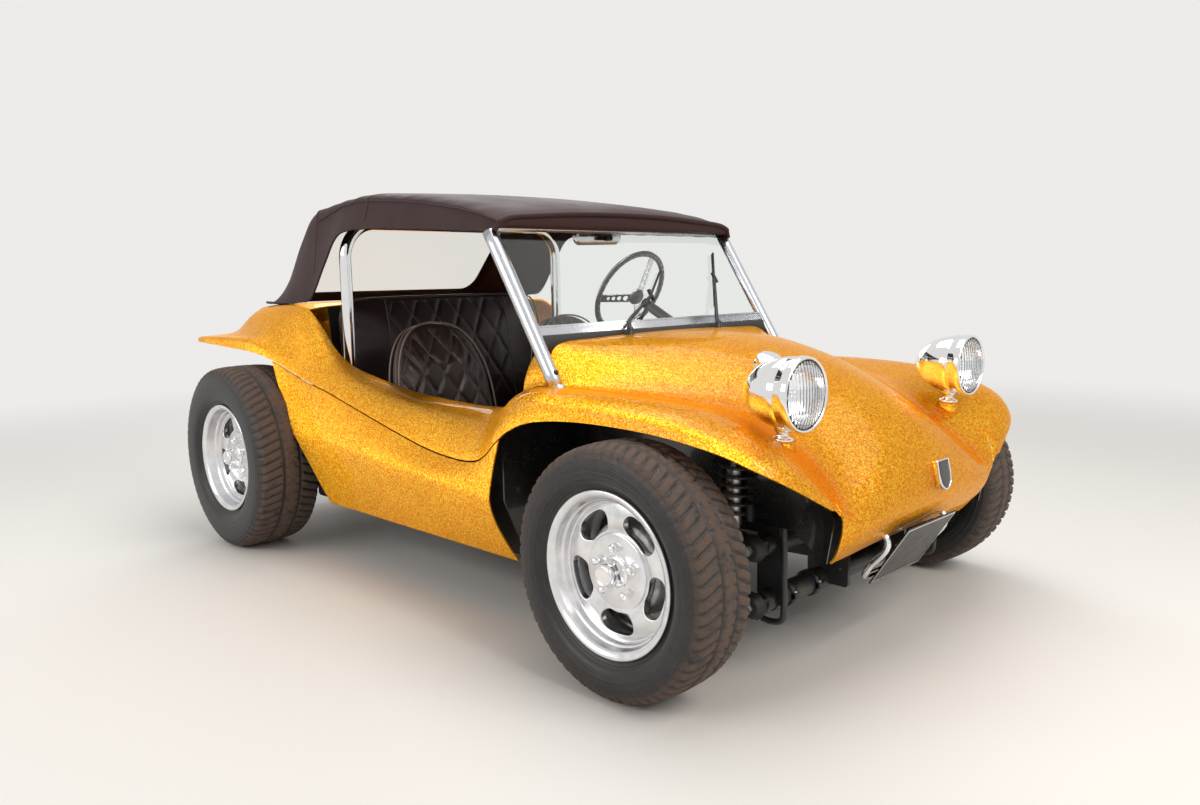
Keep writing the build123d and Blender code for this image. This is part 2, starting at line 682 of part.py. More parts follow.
# Steering column: the box on the beam and the fixed jacket that rises through the bulkhead
box_x = drop_arm_x
column_rise = atan2(steering_wheel_z - steering_box_z, box_x - steering_wheel_x)
column_way = Vector(-cos(column_rise), 0, sin(column_rise))
column_length = Vector(steering_wheel_x - box_x, 0, steering_wheel_z - steering_box_z).length
column_end_gap = 40
with BuildPart() as steering_column:
    with BuildSketch(Plane.XY.offset(drop_arm_plate_z + drop_arm_thickness + moving_gap)):
        with Locations((box_x, drop_arm_y)):
            RectangleRounded(76, 64, 14)
            Circle(sector_r + running_fit, mode=Mode.SUBTRACT)
    extrude(amount=steering_box_z - drop_arm_plate_z + drop_arm_thickness)
    with BuildSketch(Plane(origin=(box_x, drop_arm_y, steering_box_z), z_dir=column_way)):
        Circle(column_r)
    extrude(amount=column_length - column_end_gap)
save(steering_column.part, "steering_column")

# Steering wheel: a thin rim, three drilled spokes, a hub and its short shaft
wheel_centre = (steering_wheel_x, drop_arm_y, steering_wheel_z)
wheel_plane = Plane(origin=wheel_centre, x_dir=(0, 1, 0), z_dir=column_way)
spoke_angles = (51, 171, 291)
with BuildPart() as steering_wheel:
    with BuildSketch(wheel_plane.offset(12)):
        Circle(steering_wheel_r)
        Circle(steering_wheel_r - 22, mode=Mode.SUBTRACT)
    extrude(amount=16)
    fillet(edges().filter_by(GeomType.CIRCLE), 5)
    with BuildSketch(wheel_plane.offset(14)):
        for angle in spoke_angles:
            with Locations(Rot(0, 0, angle) * Pos(85, 0)):
                Rectangle(140, 30)
    extrude(amount=4)
    with BuildSketch(wheel_plane.offset(14)):
        for angle in spoke_angles:
            for hole_r, hole_x in ((8, 62), (7, 90), (6, 115)):
                with Locations(Rot(0, 0, angle) * Pos(hole_x, 0)):
                    Circle(hole_r)
    extrude(amount=4, mode=Mode.SUBTRACT)
    with BuildSketch(wheel_plane.offset(-column_end_gap + moving_gap)):
        Circle(14)
    extrude(amount=column_end_gap + 10)
    with BuildSketch(wheel_plane.offset(0)):
        Circle(32)
    extrude(amount=26)
save(steering_wheel.part, "steering_wheel")


def road_wheel(axle_x, axle_z, centre_y, rim_width, setback):
    """A rim with its slotted disc, brake drum and hub, for the car's left side."""
    lip = centre_y + rim_width / 2
    back = centre_y - rim_width / 2
    face = lip - setback
    well = 160
    slot_path = CenterArc((0, 0), slot_circle_r, -slot_arc / 2, slot_arc)
    spin_plane = Plane(origin=(axle_x, 0, axle_z), x_dir=(1, 0, 0), z_dir=(0, -1, 0))
    with BuildPart() as wheel:
        with BuildSketch(Plane.YZ.offset(axle_x)):
            with BuildLine():
                Polyline((back, axle_z + bead_r - 6), (back, axle_z + rim_r),
                         (back + flange_thickness, axle_z + rim_r),
                         (back + flange_thickness, axle_z + bead_r), (back + 40, axle_z + bead_r),
                         (back + 55, axle_z + well + 8), (face - 40, axle_z + well + 8),
                         (face - 20, axle_z + bead_r), (lip - flange_thickness, axle_z + bead_r),
                         (lip - flange_thickness, axle_z + rim_r), (lip, axle_z + rim_r),
                         (lip, axle_z + barrel_r + 4), (face + 14, axle_z + barrel_r - 4),
                         (face, axle_z + well - 2), (face + 8, axle_z + 100), (face + 4, axle_z + hub_r),
                         (face + hub_length / 2, axle_z + 34), (face + hub_length / 2, axle_z),
                         (face + hub_length / 2 - 12, axle_z),
                         (face + hub_length / 2 - 12, axle_z + axle_r + running_fit),
                         (face - drum_depth, axle_z + axle_r + running_fit),
                         (face - drum_depth, axle_z + drum_r),
                         (face - 18, axle_z + drum_r), (face - disc_thickness, axle_z + 100),
                         (face - disc_thickness, axle_z + well), (back + 30, axle_z + well),
                         (back + 20, axle_z + barrel_r), close=True)
            make_face()
        revolve(axis=Axis((axle_x, 0, axle_z), (0, 1, 0)))
        with BuildSketch(spin_plane.offset(-face - 20)):
            with PolarLocations(0, slot_count, start_angle=270):
                SlotArc(slot_path, slot_width)
        extrude(amount=45, mode=Mode.SUBTRACT)
    return wheel.part


def tyre(axle_x, axle_z, centre_y, rim_width, width, outer_r):
    """A plain tyre seated between a rim's flanges."""
    seat = rim_width / 2 - flange_thickness - seat_gap
    bulge = width / 2
    shoulder = bulge - 14
    bead_z = axle_z + bead_r + seat_gap
    flange_z = axle_z + rim_r + 2
    bulge_z = axle_z + (rim_r + outer_r) / 2 - 6
    tread_z = axle_z + outer_r - 10
    with BuildPart() as ring:
        with BuildSketch(Plane.YZ.offset(axle_x)):
            with BuildLine():
                Line((centre_y - seat, bead_z), (centre_y + seat, bead_z))
                Line((centre_y + seat, bead_z), (centre_y + seat, flange_z))
                ThreePointArc((centre_y + seat, flange_z), (centre_y + bulge, bulge_z),
                              (centre_y + shoulder, tread_z))
                ThreePointArc((centre_y + shoulder, tread_z), (centre_y, axle_z + outer_r),
                              (centre_y - shoulder, tread_z))
                ThreePointArc((centre_y - shoulder, tread_z), (centre_y - bulge, bulge_z),
                              (centre_y - seat, flange_z))
                Line((centre_y - seat, flange_z), (centre_y - seat, bead_z))
            make_face()
        revolve(axis=Axis((axle_x, 0, axle_z), (0, 1, 0)))
    return ring.part


wheel_sets = [
    ("front", front_axle_x, front_tyre_r, front_wheel_y, front_rim_width, front_tyre_width, disc_setback),
    ("rear", rear_axle_x, rear_tyre_r, rear_wheel_y, rear_rim_width, rear_tyre_width, disc_setback + 12),
]
for end, axle_x, outer_r, centre_y, rim_width, width, setback in wheel_sets:
    rim = road_wheel(axle_x, outer_r, centre_y, rim_width, setback)
    save(rim, f"wheel_{end}_left")
    save(mirrored(rim), f"wheel_{end}_right")
    band = tyre(axle_x, outer_r, centre_y, rim_width, width, outer_r)
    save(band, f"tyre_{end}_left")
    save(mirrored(band), f"tyre_{end}_right")

# Rear frame: the torsion tube across the pan's end, its two horns and the spring plates
torsion_x = rear_axle_x + 205
torsion_z = 285
torsion_r = 42
torsion_half = 470
horn_y = 150
axle_tube_r = 34
with BuildPart() as rear_frame:
    with BuildSketch(Plane.XZ.offset(-torsion_half)):
        with Locations((torsion_x, torsion_z)):
            Circle(torsion_r)
    extrude(amount=2 * torsion_half)
    with BuildSketch(Plane.YZ.offset(torsion_x)):
        with Locations((horn_y, torsion_z), (-horn_y, torsion_z)):
            RectangleRounded(40, 60, 8)
    extrude(amount=-torsion_x + rear_axle_x - 60)
    with BuildSketch(Plane.XZ.offset(-torsion_half)):
        with BuildLine():
            Polyline((torsion_x + 30, torsion_z + 30), (rear_axle_x - 40, rear_tyre_r + 30),
                     (rear_axle_x - 40, rear_tyre_r - 40), (torsion_x + 30, torsion_z - 34), close=True)
        make_face()
        with Locations((rear_axle_x, rear_tyre_r)):
            Circle(axle_tube_r + seat_gap, mode=Mode.SUBTRACT)
    extrude(amount=-8)
    mirror(about=Plane.XZ)
save(rear_frame.part, "rear_frame")

# Transaxle: gearbox, bell housing and the two swing axle tubes with their bearing flanges
gearbox_half = 95
bell_x = rear_axle_x - 168
axle_flange_y = rear_wheel_y + rear_rim_width / 2 - disc_setback - 12 - drum_depth - moving_gap
with BuildPart() as transaxle:
    with BuildSketch(Plane.YZ.offset(rear_axle_x + 150)):
        with Locations((0, rear_tyre_r - 20)):
            Circle(62)
    with BuildSketch(Plane.YZ.offset(rear_axle_x + 40)):
        with Locations((0, rear_tyre_r - 10)):
            Circle(gearbox_half + 10)
    with BuildSketch(Plane.YZ.offset(rear_axle_x - 70)):
        with Locations((0, rear_tyre_r)):
            Circle(gearbox_half + 20)
    with BuildSketch(Plane.YZ.offset(bell_x)):
        with Locations((0, rear_tyre_r)):
            Circle(165)
    loft(ruled=True)
    with BuildSketch(Plane.XZ.offset(-axle_flange_y)):
        with Locations((rear_axle_x, rear_tyre_r)):
            Circle(axle_tube_r)
    extrude(amount=2 * axle_flange_y)
    for flange_y in (-axle_flange_y + 30, axle_flange_y):
        with BuildSketch(Plane.XZ.offset(-flange_y)):
            with Locations((rear_axle_x, rear_tyre_r)):
                Circle(62)
        extrude(amount=30)
    with BuildSketch(Plane.XZ.offset(-rear_wheel_y - 40)):
        with Locations((rear_axle_x, rear_tyre_r)):
            Circle(axle_r)
    extrude(amount=2 * (rear_wheel_y + 40))
save(transaxle.part, "transaxle")

# Engine: a flat four behind the bell housing, with its finned barrels, fan housing and pulley
crank_length = 280
barrel_reach = 330
engine_gap = 1
fin_count = 9
with BuildPart() as engine:
    engine_front_x = bell_x - engine_gap
    crank_x = engine_front_x - crank_length / 2
    with Locations((crank_x, 0, rear_tyre_r - 20)):
        Box(crank_length, 240, 260)
    fillet(edges().filter_by(Axis.X), 30)
    for side in (1, -1):
        for barrel_x in (crank_x - 60, crank_x + 60):
            with BuildSketch(Plane.XZ.offset(-side * 110)):
                with Locations((barrel_x, rear_tyre_r)):
                    Circle(46)
            extrude(amount=-side * (barrel_reach - 110))
            for fin in range(fin_count):
                fin_y = side * (140 + fin * 14)
                with BuildSketch(Plane.XZ.offset(-fin_y)):
                    with Locations((barrel_x, rear_tyre_r)):
                        Circle(56)
                extrude(amount=4, both=False)
        with Locations((crank_x, side * (barrel_reach - 25), rear_tyre_r - 20)):
            Box(250, 90, 150)
    with BuildSketch(Plane.YZ.offset(crank_x - 20)):
        with Locations((0, rear_tyre_r + 235)):
            RectangleRounded(330, 210, 90)
        with Locations((0, rear_tyre_r + 130)):
            Rectangle(150, 80)
    extrude(amount=-95)
    with BuildSketch(Plane.YZ.offset(engine_front_x - crank_length)):
        with Locations((0, rear_tyre_r - 20)):
            Circle(75)
    extrude(amount=-30)
save(engine.part, "engine")

# Exhaust: a cross silencer behind the engine, its two risers and its two tail pipes
silencer_r = 54
silencer_x = rear_axle_x - rear_overhang + silencer_r
silencer_z = 250
pipe_r = 19
with BuildPart() as exhaust:
    with BuildSketch(Plane.XZ.offset(-270)):
        with Locations((silencer_x, silencer_z)):
            Circle(silencer_r)
    extrude(amount=540)
    fillet(edges().filter_by(GeomType.CIRCLE), 15)
    for side in (1, -1):
        with BuildLine() as riser:
            FilletPolyline((silencer_x, side * 220, silencer_z),
                           (silencer_x + 70, side * 300, silencer_z - 30),
                           (engine_front_x - crank_length + 60, side * 290, silencer_z - 30),
                           (engine_front_x - crank_length + 60, side * 290, rear_tyre_r - 96), radius=18)
        with BuildSketch(Plane(origin=riser.line @ 0, z_dir=riser.line % 0)):
            Circle(pipe_r)
        sweep(path=riser.line)
save(exhaust.part, "exhaust")

# Windscreen: raked tubular posts with top and bottom rails, mirror stem, and the pane between them
screen_rise = Vector(screen_top_x - screen_foot_x, 0, screen_top_z - screen_foot_z)
screen_way = screen_rise.normalized()
screen_normal = Vector(screen_way.Z, 0, -screen_way.X)
screen_rake = degrees(atan2(-screen_way.X, screen_way.Z))
post_foot_drop = 136
rail_height = 26
rail_depth = 18
with BuildPart() as windscreen_frame:
    screen_plane = Plane(origin=(screen_foot_x, 0, screen_foot_z), x_dir=(0, 1, 0), z_dir=-screen_normal)
    for side in (1, -1):
        post_top = Vector(screen_top_x, side * screen_half, screen_top_z)
        post_foot = Vector(screen_foot_x, side * screen_half, screen_foot_z) - screen_way * post_foot_drop
        with BuildSketch(Plane(origin=post_foot, z_dir=screen_way)):
            Circle(post_r)
        extrude(amount=(post_top - post_foot).length)
    for rail_rise in (rail_height / 2, screen_rise.length - rail_height / 2):
        with BuildSketch(Plane.XZ.offset(-screen_half)):
            rail_x = screen_foot_x + screen_way.X * rail_rise
            rail_z = screen_foot_z + screen_way.Z * rail_rise
            with Locations(Pos(rail_x, rail_z) * Rot(0, 0, screen_rake)):
                Rectangle(rail_depth, rail_height)
        extrude(amount=2 * screen_half)
save(windscreen_frame.part, "windscreen_frame")

pane_plane = Plane(origin=(screen_foot_x, 0, screen_foot_z), x_dir=(0, 1, 0), z_dir=screen_normal)
pane_height = screen_rise.length - 2 * rail_height - 2 * seat_gap
pane_half = screen_half - post_r - seat_gap
with BuildPart() as windscreen_glass:
    with BuildSketch(pane_plane.offset(-glass_thickness / 2)):
        with Locations((0, (1 if pane_plane.y_dir.Z > 0 else -1) * screen_rise.length / 2)):
            Rectangle(2 * pane_half, pane_height)
    extrude(amount=glass_thickness)
save(windscreen_glass.part, "windscreen_glass")

# Rear-view mirror: a rounded case hung from the top rail on a short stem
mirror_x = screen_top_x - 70
mirror_y = -50
mirror_z = screen_top_z + 6
with BuildPart() as rear_view_mirror:
    with BuildSketch(upright(mirror_x)):
        with Locations((mirror_y, mirror_z)):
            RectangleRounded(205, 62, 25)
    extrude(amount=26)
    fillet(faces().sort_by(Axis.X)[-1].edges(), 10)
    with BuildSketch(upright(mirror_x + 20)):
        with Locations((mirror_y, mirror_z)):
            Circle(8)
    extrude(amount=70 - 20 - rail_depth / 2 - seat_gap)
save(rear_view_mirror.part, "rear_view_mirror")

# Headlamps: bullet shells on short stalks, and their lenses
lamp_x = front_axle_x + 302
lamp_y = 0.6 * half
lamp_z = 738
lamp_r = 92
lamp_depth = 165
stalk_foot_x = front_axle_x + 241
stalk_foot_z = 645
stalk_seat_z = 642
with BuildPart() as headlamps:
    lamp_plane = Plane.XZ.offset(-lamp_y)
    with BuildSketch(lamp_plane):
        with BuildLine():
            Line((lamp_x - lamp_depth, lamp_z), (lamp_x, lamp_z))
            Line((lamp_x, lamp_z), (lamp_x, lamp_z + lamp_r))
            Line((lamp_x, lamp_z + lamp_r), (lamp_x - 25, lamp_z + lamp_r))
            ThreePointArc((lamp_x - 25, lamp_z + lamp_r), (lamp_x - 110, lamp_z + 70),
                          (lamp_x - lamp_depth, lamp_z))
        make_face()
    revolve(axis=Axis((lamp_x, lamp_y, lamp_z), (1, 0, 0)))
    with BuildLine() as stalk:
        Line((stalk_foot_x, lamp_y, stalk_foot_z), (lamp_x - 55, lamp_y, lamp_z - 50))
    with BuildSketch(Plane.XY.offset(stalk_seat_z)):
        with Locations((stalk_foot_x, lamp_y)):
            Circle(30)
    extrude(amount=stalk_foot_z - stalk_seat_z + 8)
    with BuildSketch(Plane(origin=stalk.line @ 0, z_dir=stalk.line % 0)):
        Circle(15)
    sweep(path=stalk.line)
    mirror(about=Plane.XZ)
save(headlamps.part, "headlamps")

with BuildPart() as headlamp_lenses:
    with BuildSketch(Plane.XZ.offset(-lamp_y)):
        with BuildLine():
            Line((lamp_x + seat_gap, lamp_z), (lamp_x + 22, lamp_z))
            ThreePointArc((lamp_x + 22, lamp_z), (lamp_x + 15, lamp_z + 50),
                          (lamp_x + seat_gap, lamp_z + 84))
            Line((lamp_x + seat_gap, lamp_z + 84), (lamp_x + seat_gap, lamp_z))
        make_face()
    revolve(axis=Axis((lamp_x, lamp_y, lamp_z), (1, 0, 0)))
    mirror(about=Plane.XZ)
save(headlamp_lenses.part, "headlamp_lenses")

# Wipers: a spindle, an arm and a blade on each side of the scuttle
wiper_pivots = [(-216, 70), (227, -25)]
wiper_x = screen_foot_x + 42
wiper_z = 849
blade_length = 270
with BuildPart() as wipers:
    for pivot_y, lean in wiper_pivots:
        with Locations((wiper_x, pivot_y, wiper_z)):
            Cylinder(12, 26, align=(Align.CENTER, Align.CENTER, Align.MIN))
        arm_foot = Vector(wiper_x, pivot_y, wiper_z + 18)
        arm_tip = Vector(wiper_x - 92, pivot_y + lean, wiper_z + 168)
        arm_way = (arm_tip - arm_foot).normalized()
        with BuildSketch(Plane(origin=arm_foot, z_dir=arm_way)):
            Circle(5)
        extrude(amount=(arm_tip - arm_foot).length)
        with BuildSketch(Plane(origin=arm_tip - arm_way * blade_length * 0.4, z_dir=arm_way)):
            Circle(6)
        extrude(amount=blade_length)
save(wipers.part, "wipers")

# Fuel filler cap on the bonnet
cap_x = front_axle_x + 20
cap_y = -0.2533 * half
cap_z = 776
cap_normal = (0.36, -0.31, 1)
with BuildPart() as fuel_filler_cap:
    cap_plane = Plane(origin=(cap_x, cap_y, cap_z), z_dir=cap_normal)
    with BuildSketch(cap_plane):
        Circle(36)
    extrude(amount=26)
    fillet(faces().sort_by(Axis.Z)[-1].edges(), 6)
save(fuel_filler_cap.part, "fuel_filler_cap")

# Dashboard: a padded rail under the scuttle with its lower edge above the column
dash_x = scuttle_x - 4
dash_half = 500
with BuildPart() as dashboard:
    with BuildSketch(Plane.XZ.offset(-dash_half)):
        with BuildLine():
            Polyline((dash_x, 826), (dash_x - 60, 822), (dash_x - 95, 800), (dash_x - 88, 745),
                     (dash_x - 70, 738), (dash_x - 60, 800), (dash_x, 806), close=True)
        make_face()
    extrude(amount=2 * dash_half)
    with BuildSketch(Plane(origin=(box_x, drop_arm_y, steering_box_z), z_dir=column_way)):
        Circle(column_r + 3)
    extrude(amount=column_length, mode=Mode.SUBTRACT)
save(dashboard.part, "dashboard")

# Number plates: plain blank panels at the nose and the tail
plate_length = 279
plate_height = 203
plate_thickness = 3
plate_top_x = front_axle_x + 424
plate_top_z = 372
plate_rake = 33
with BuildPart() as number_plates:
    with BuildSketch(Plane(origin=(plate_top_x, 0, plate_top_z), x_dir=(0, 1, 0),
                           z_dir=(cos(radians(plate_rake)), 0, -sin(radians(plate_rake))))):
        with Locations((0, -plate_height / 2 - 6)):
            RectangleRounded(plate_length, plate_height, 8)
    extrude(amount=plate_thickness)
    with BuildSketch(upright(rear_axle_x - 450.5)):
        with Locations((0, 640)):
            RectangleRounded(plate_length, plate_height, 8)
    extrude(amount=-plate_thickness)
save(number_plates.part, "number_plates")

# Tail lamps: round lenses on the rear wings' backs
with BuildPart() as tail_lamps:
    with BuildSketch(upright(rear_axle_x - 450.5)):
        with Locations((300, 730)):
            Circle(42)
    extrude(amount=-40)
    mirror(about=Plane.XZ)
save(tail_lamps.part, "tail_lamps")

# Rear valance: the panel under the deck that carries the tail lamps and the plate
with BuildPart() as rear_valance:
    with BuildSketch(upright(rear_axle_x - 450)):
        with BuildLine():
            Polyline((-400, 850), (400, 850), (430, 700), (300, 660), (180, 560), (-180, 560), (-300, 660),
                     (-430, 700), close=True)
        make_face()
    extrude(amount=wall)
save(rear_valance.part, "rear_valance")

# Roll hoop: one bent tube across the car behind the seats, with two backstays
hoop_foot_z = liner_base_z
hoop_bend = 130
with BuildPart() as roll_hoop:
    with BuildLine() as hoop_path:
        FilletPolyline((hoop_x, -hoop_half, hoop_foot_z), (hoop_x, -hoop_half, hoop_top_z),
                       (hoop_x, hoop_half, hoop_top_z), (hoop_x, hoop_half, hoop_foot_z), radius=hoop_bend)
    with BuildSketch(Plane(origin=hoop_path.line @ 0, z_dir=hoop_path.line % 0)):
        Circle(hoop_r)
    sweep(path=hoop_path.line)
save(roll_hoop.part, "roll_hoop")

# Front seats: one-piece buckets with a raised back
seat_depth = 470
with BuildPart() as seat:
    with BuildSketch(Plane.XZ.offset(-seat_y - seat_width / 2)):
        with BuildLine():
            Polyline((seat_back_x + 40, liner_base_z + 20),
                     (seat_back_x + seat_depth + 40, liner_base_z + 20),
                     (seat_back_x + seat_depth + 60, seat_base_z - 20),
                     (seat_back_x + seat_depth + 20, seat_base_z),
                     (seat_back_x + 150, seat_base_z - 30), (seat_back_x + 60, seat_back_z - 30),
                     (seat_back_x, seat_back_z), (seat_back_x - 40, seat_back_z - 40), close=True)
        make_face()
        fillet(vertices(), 18)
    extrude(amount=seat_width)
    with BuildSketch(Plane(origin=(seat_back_x, 0, 0), x_dir=(0, 1, 0), z_dir=(-1, 0, 0))):
        with BuildLine():
            Polyline((seat_y - seat_width / 2 - 5, -liner_base_z),
                     (seat_y + seat_width / 2 + 5, -liner_base_z),
                     (seat_y + seat_width / 2 + 5, -seat_base_z - 150), (seat_y + 130, -seat_back_z - 2),
                     (seat_y - 130, -seat_back_z - 2), (seat_y - seat_width / 2 - 5, -seat_base_z - 150),
                     close=True)
        make_face()
    extrude(amount=800, both=True, mode=Mode.INTERSECT)
save(seat.part, "seat_left")
save(mirrored(seat.part), "seat_right")

# Rear seat: a bench cushion over the torsion tube and a tall back against the bulkhead
with BuildPart() as rear_seat:
    with BuildSketch(Plane.XZ.offset(-500)):
        with BuildLine():
            Polyline((rear_axle_x + 270, 345), (rear_axle_x + 500, 345), (rear_axle_x + 510, 430),
                     (rear_axle_x + 490, 450), (rear_axle_x + 340, 440), (rear_axle_x + 275, 950),
                     (rear_axle_x + 217, 950), (rear_axle_x + 270, 510), close=True)
        make_face()
        fillet(vertices().sort_by(Axis.Y)[-2:], 15)
    extrude(amount=1000)
save(rear_seat.part, "rear_seat")

# Driver's controls: gear lever, handbrake and three hanging pedals
with BuildPart() as driver_controls:
    with Locations(Pos(front_axle_x - 700, 0, floor_z + tunnel_height + 2) * Rot(0, -12, 0)):
        Cylinder(6, 330, align=(Align.CENTER, Align.CENTER, Align.MIN))
    with Locations(Pos(front_axle_x - 780, 0, floor_z + tunnel_height + 14) * Rot(0, -70, 0)):
        Cylinder(11, 260, align=(Align.CENTER, Align.CENTER, Align.MIN))
    for pedal_y in (150, 210, 270):
        with Locations(Pos(floor_front_x - 30, pedal_y, floor_z + floor_thickness + 6) * Rot(0, -25, 0)):
            Box(8, 46, 190, align=(Align.CENTER, Align.CENTER, Align.MIN))
save(driver_controls.part, "driver_controls")

# Soft top: a shell over the hoop and the header, its sides cut away above the cockpit and
# its back cut for the rear window.
# Columns: place ahead of the rear axle, crown z, then y and z of the edge and y of the foot.
# Places are for a roof_run from the rear axle to the screen's top and stretch with it.
roof_run = 1315
roof_stations = [
    (-165, 945, 560, 940, 590),
    (165, 1300, 545, 1285, 590),
    (600, roof_height, 522, 1330, 585),
    (1338, 1250, 560, 1206, 580),
]
roof_base_z = 938


def roof_x(place):
    """A place along the roof, stretched with the distance from the rear axle to the screen."""
    return rear_axle_x + place * (screen_top_x - rear_axle_x) / roof_run


with BuildPart() as roof_canopy:
    for place, crown_z, edge_y, edge_z, foot_y in roof_stations:
        with BuildSketch(upright(roof_x(place))):
            with BuildLine():
                ThreePointArc((-edge_y, edge_z), (0, crown_z), (edge_y, edge_z))
                Line((edge_y, edge_z), (foot_y, roof_base_z - 2))
                Line((foot_y, roof_base_z - 2), (-foot_y, roof_base_z - 2))
                Line((-foot_y, roof_base_z - 2), (-edge_y, edge_z))
            make_face()
    loft(ruled=True)
with BuildPart() as roof_inside:
    for place, crown_z, edge_y, edge_z, foot_y in roof_stations:
        shift = -roof_thickness if place > 1000 else roof_thickness
        with BuildSketch(upright(roof_x(place) + shift)):
            with BuildLine():
                ThreePointArc((-edge_y + roof_thickness, edge_z - roof_thickness),
                              (0, crown_z - roof_thickness),
                              (edge_y - roof_thickness, edge_z - roof_thickness))
                Line((edge_y - roof_thickness, edge_z - roof_thickness), (foot_y - roof_thickness, 900))
                Line((foot_y - roof_thickness, 900), (-foot_y + roof_thickness, 900))
                Line((-foot_y + roof_thickness, 900), (-edge_y + roof_thickness, edge_z - roof_thickness))
            make_face()
    loft(ruled=True)
window_half = 470
window_low_z = 975
window_high_z = 1245
side_opening = [
    (238, 900), (238, 953), (352, 1095), (381, 1157),
    (440, 1198), (1280, 1172), (1350, 1178), (1350, 900),
]
with BuildPart() as roof_cuts:
    with BuildSketch(Plane.XZ):
        with BuildLine():
            Polyline([(roof_x(x), z) for x, z in side_opening], close=True)
        make_face()
    extrude(amount=700, both=True)
    with BuildSketch(Plane.YZ.offset(roof_x(-300))):
        with Locations((0, (window_low_z + window_high_z) / 2)):
            RectangleRounded(2 * window_half, window_high_z - window_low_z, 60)
    extrude(amount=480)
save(roof_canopy.part - roof_inside.part - roof_cuts.part, "roof_canopy")

# Roof frame: two side rails along the roof's edges and the bows that cross between them
bow_r = 10
rail_r = 7
rail_y = 480
rail_stations = [(195, 1268), (600, 1309), (1285, 1188)]
with BuildPart() as roof_frame:
    rail_points = [Vector(roof_x(x), rail_y, z) for x, z in rail_stations]
    for start, end in zip(rail_points, rail_points[1:]):
        with BuildSketch(Plane(origin=start, z_dir=(end - start).normalized())):
            Circle(rail_r)
        extrude(amount=(end - start).length)
    mirror(about=Plane.XZ)
    for point in rail_points:
        with BuildSketch(Plane.XZ.offset(-rail_y - bow_r)):
            with Locations((point.X, point.Z)):
                Circle(bow_r)
        extrude(amount=2 * (rail_y + bow_r))
save(roof_frame.part, "roof_frame")
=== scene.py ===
# %% [markdown]
# # A gold dune buggy
# The imported model gives the frame that everything here is built round: its bodies, its joints
# and its plain solids. This first cell loads it. The finished looks have to stay inside the
# same box.

# %% Load the frame
import math
import bpy
import bmesh
import numpy as np
from mathutils import Matrix, Vector


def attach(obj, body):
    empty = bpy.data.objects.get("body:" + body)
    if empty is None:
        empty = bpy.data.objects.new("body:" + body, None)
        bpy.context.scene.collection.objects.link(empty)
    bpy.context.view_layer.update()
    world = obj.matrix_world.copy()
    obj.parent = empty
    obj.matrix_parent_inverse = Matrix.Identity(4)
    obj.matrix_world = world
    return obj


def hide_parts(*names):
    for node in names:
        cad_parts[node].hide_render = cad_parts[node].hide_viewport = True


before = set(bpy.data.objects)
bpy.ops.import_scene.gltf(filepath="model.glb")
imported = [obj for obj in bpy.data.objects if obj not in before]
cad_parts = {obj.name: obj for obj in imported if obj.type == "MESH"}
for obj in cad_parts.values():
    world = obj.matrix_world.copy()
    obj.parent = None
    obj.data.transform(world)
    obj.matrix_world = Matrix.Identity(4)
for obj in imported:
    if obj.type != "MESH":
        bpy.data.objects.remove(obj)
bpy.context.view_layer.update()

# %% [markdown]
# ## Measures
# The axles are where the chassis has them. Most shapes below were measured from the rear axle,
# so one value moves them into the frame, whose origin is under the middle of the car.

# %% Axles and wheels
REAR_X = -0.94
FRONT_X = 1.1
FRONT_R, REAR_R = 0.317, 0.352
FRONT_Y, REAR_Y = 0.745, 0.756
RIM_R = 0.208
print("wheelbase", FRONT_X - REAR_X)

# %% [markdown]
# ## The camera
# The photograph was taken from low in front of the car's right corner. The place and the turn
# were worked out from the rims and the tyres, and the roll is the camera's own slight tilt.

# %% Camera
def aim_camera(place, yaw, pitch, roll, focal_px, width_px):
    """The view runs along (cos pitch cos yaw, cos pitch sin yaw, sin pitch); the right side is
    square to it and level, and both are then rolled about the view."""
    f = np.array([math.cos(pitch) * math.cos(yaw), math.cos(pitch) * math.sin(yaw), math.sin(pitch)])
    level = np.cross(f, [0, 0, 1.0])
    level /= np.linalg.norm(level)
    below = np.cross(f, level)
    right = math.cos(roll) * level + math.sin(roll) * below
    down = -math.sin(roll) * level + math.cos(roll) * below
    data = bpy.data.cameras.new("camera")
    data.sensor_width = 36.0
    data.lens = 36.0 * focal_px / width_px
    data.clip_start, data.clip_end = 0.05, 200.0
    camera = bpy.data.objects.new("camera", data)
    bpy.context.scene.collection.objects.link(camera)
    turn = Matrix((right, -down, -f)).transposed().to_4x4()
    camera.matrix_world = Matrix.Translation(place) @ turn
    bpy.context.scene.camera = camera
    return camera


camera = aim_camera((2.6384, -2.35611, 1.02565), math.radians(135.2325), math.radians(-7.6424),
                    math.radians(0.9806), 941.47, 1200)
print("camera lens", round(camera.data.lens, 2))

# %% [markdown]
# ## Studio
# A pale floor, a pale world and three big soft lamps. The floor and the world are pale by their
# own colour, so nothing on the car has to be overlit to get a light background.

# %% World and floor
PALE = (0.98, 0.97, 0.95, 1)
SEEN_STRENGTH = 0.86
LIT_STRENGTH = 0.42


def feed(tree, node, inputs):
    """Gives each named or numbered input a plain value or another node's output."""
    for key, value in inputs.items():
        if hasattr(value, "links"):
            tree.links.new(value, node.inputs[key])
        else:
            node.inputs[key].default_value = value
    return node


def add_node(tree, kind, inputs, **settings):
    """Adds a node with its settings and its inputs."""
    node = tree.nodes.new("ShaderNode" + kind)
    for key, value in settings.items():
        setattr(node, key, value)
    return feed(tree, node, inputs)


def calculate(tree, operation, *inputs, kind="Math"):
    """One sum on numbers or on other nodes' outputs."""
    return add_node(tree, kind, dict(enumerate(inputs)), operation=operation).outputs[0]


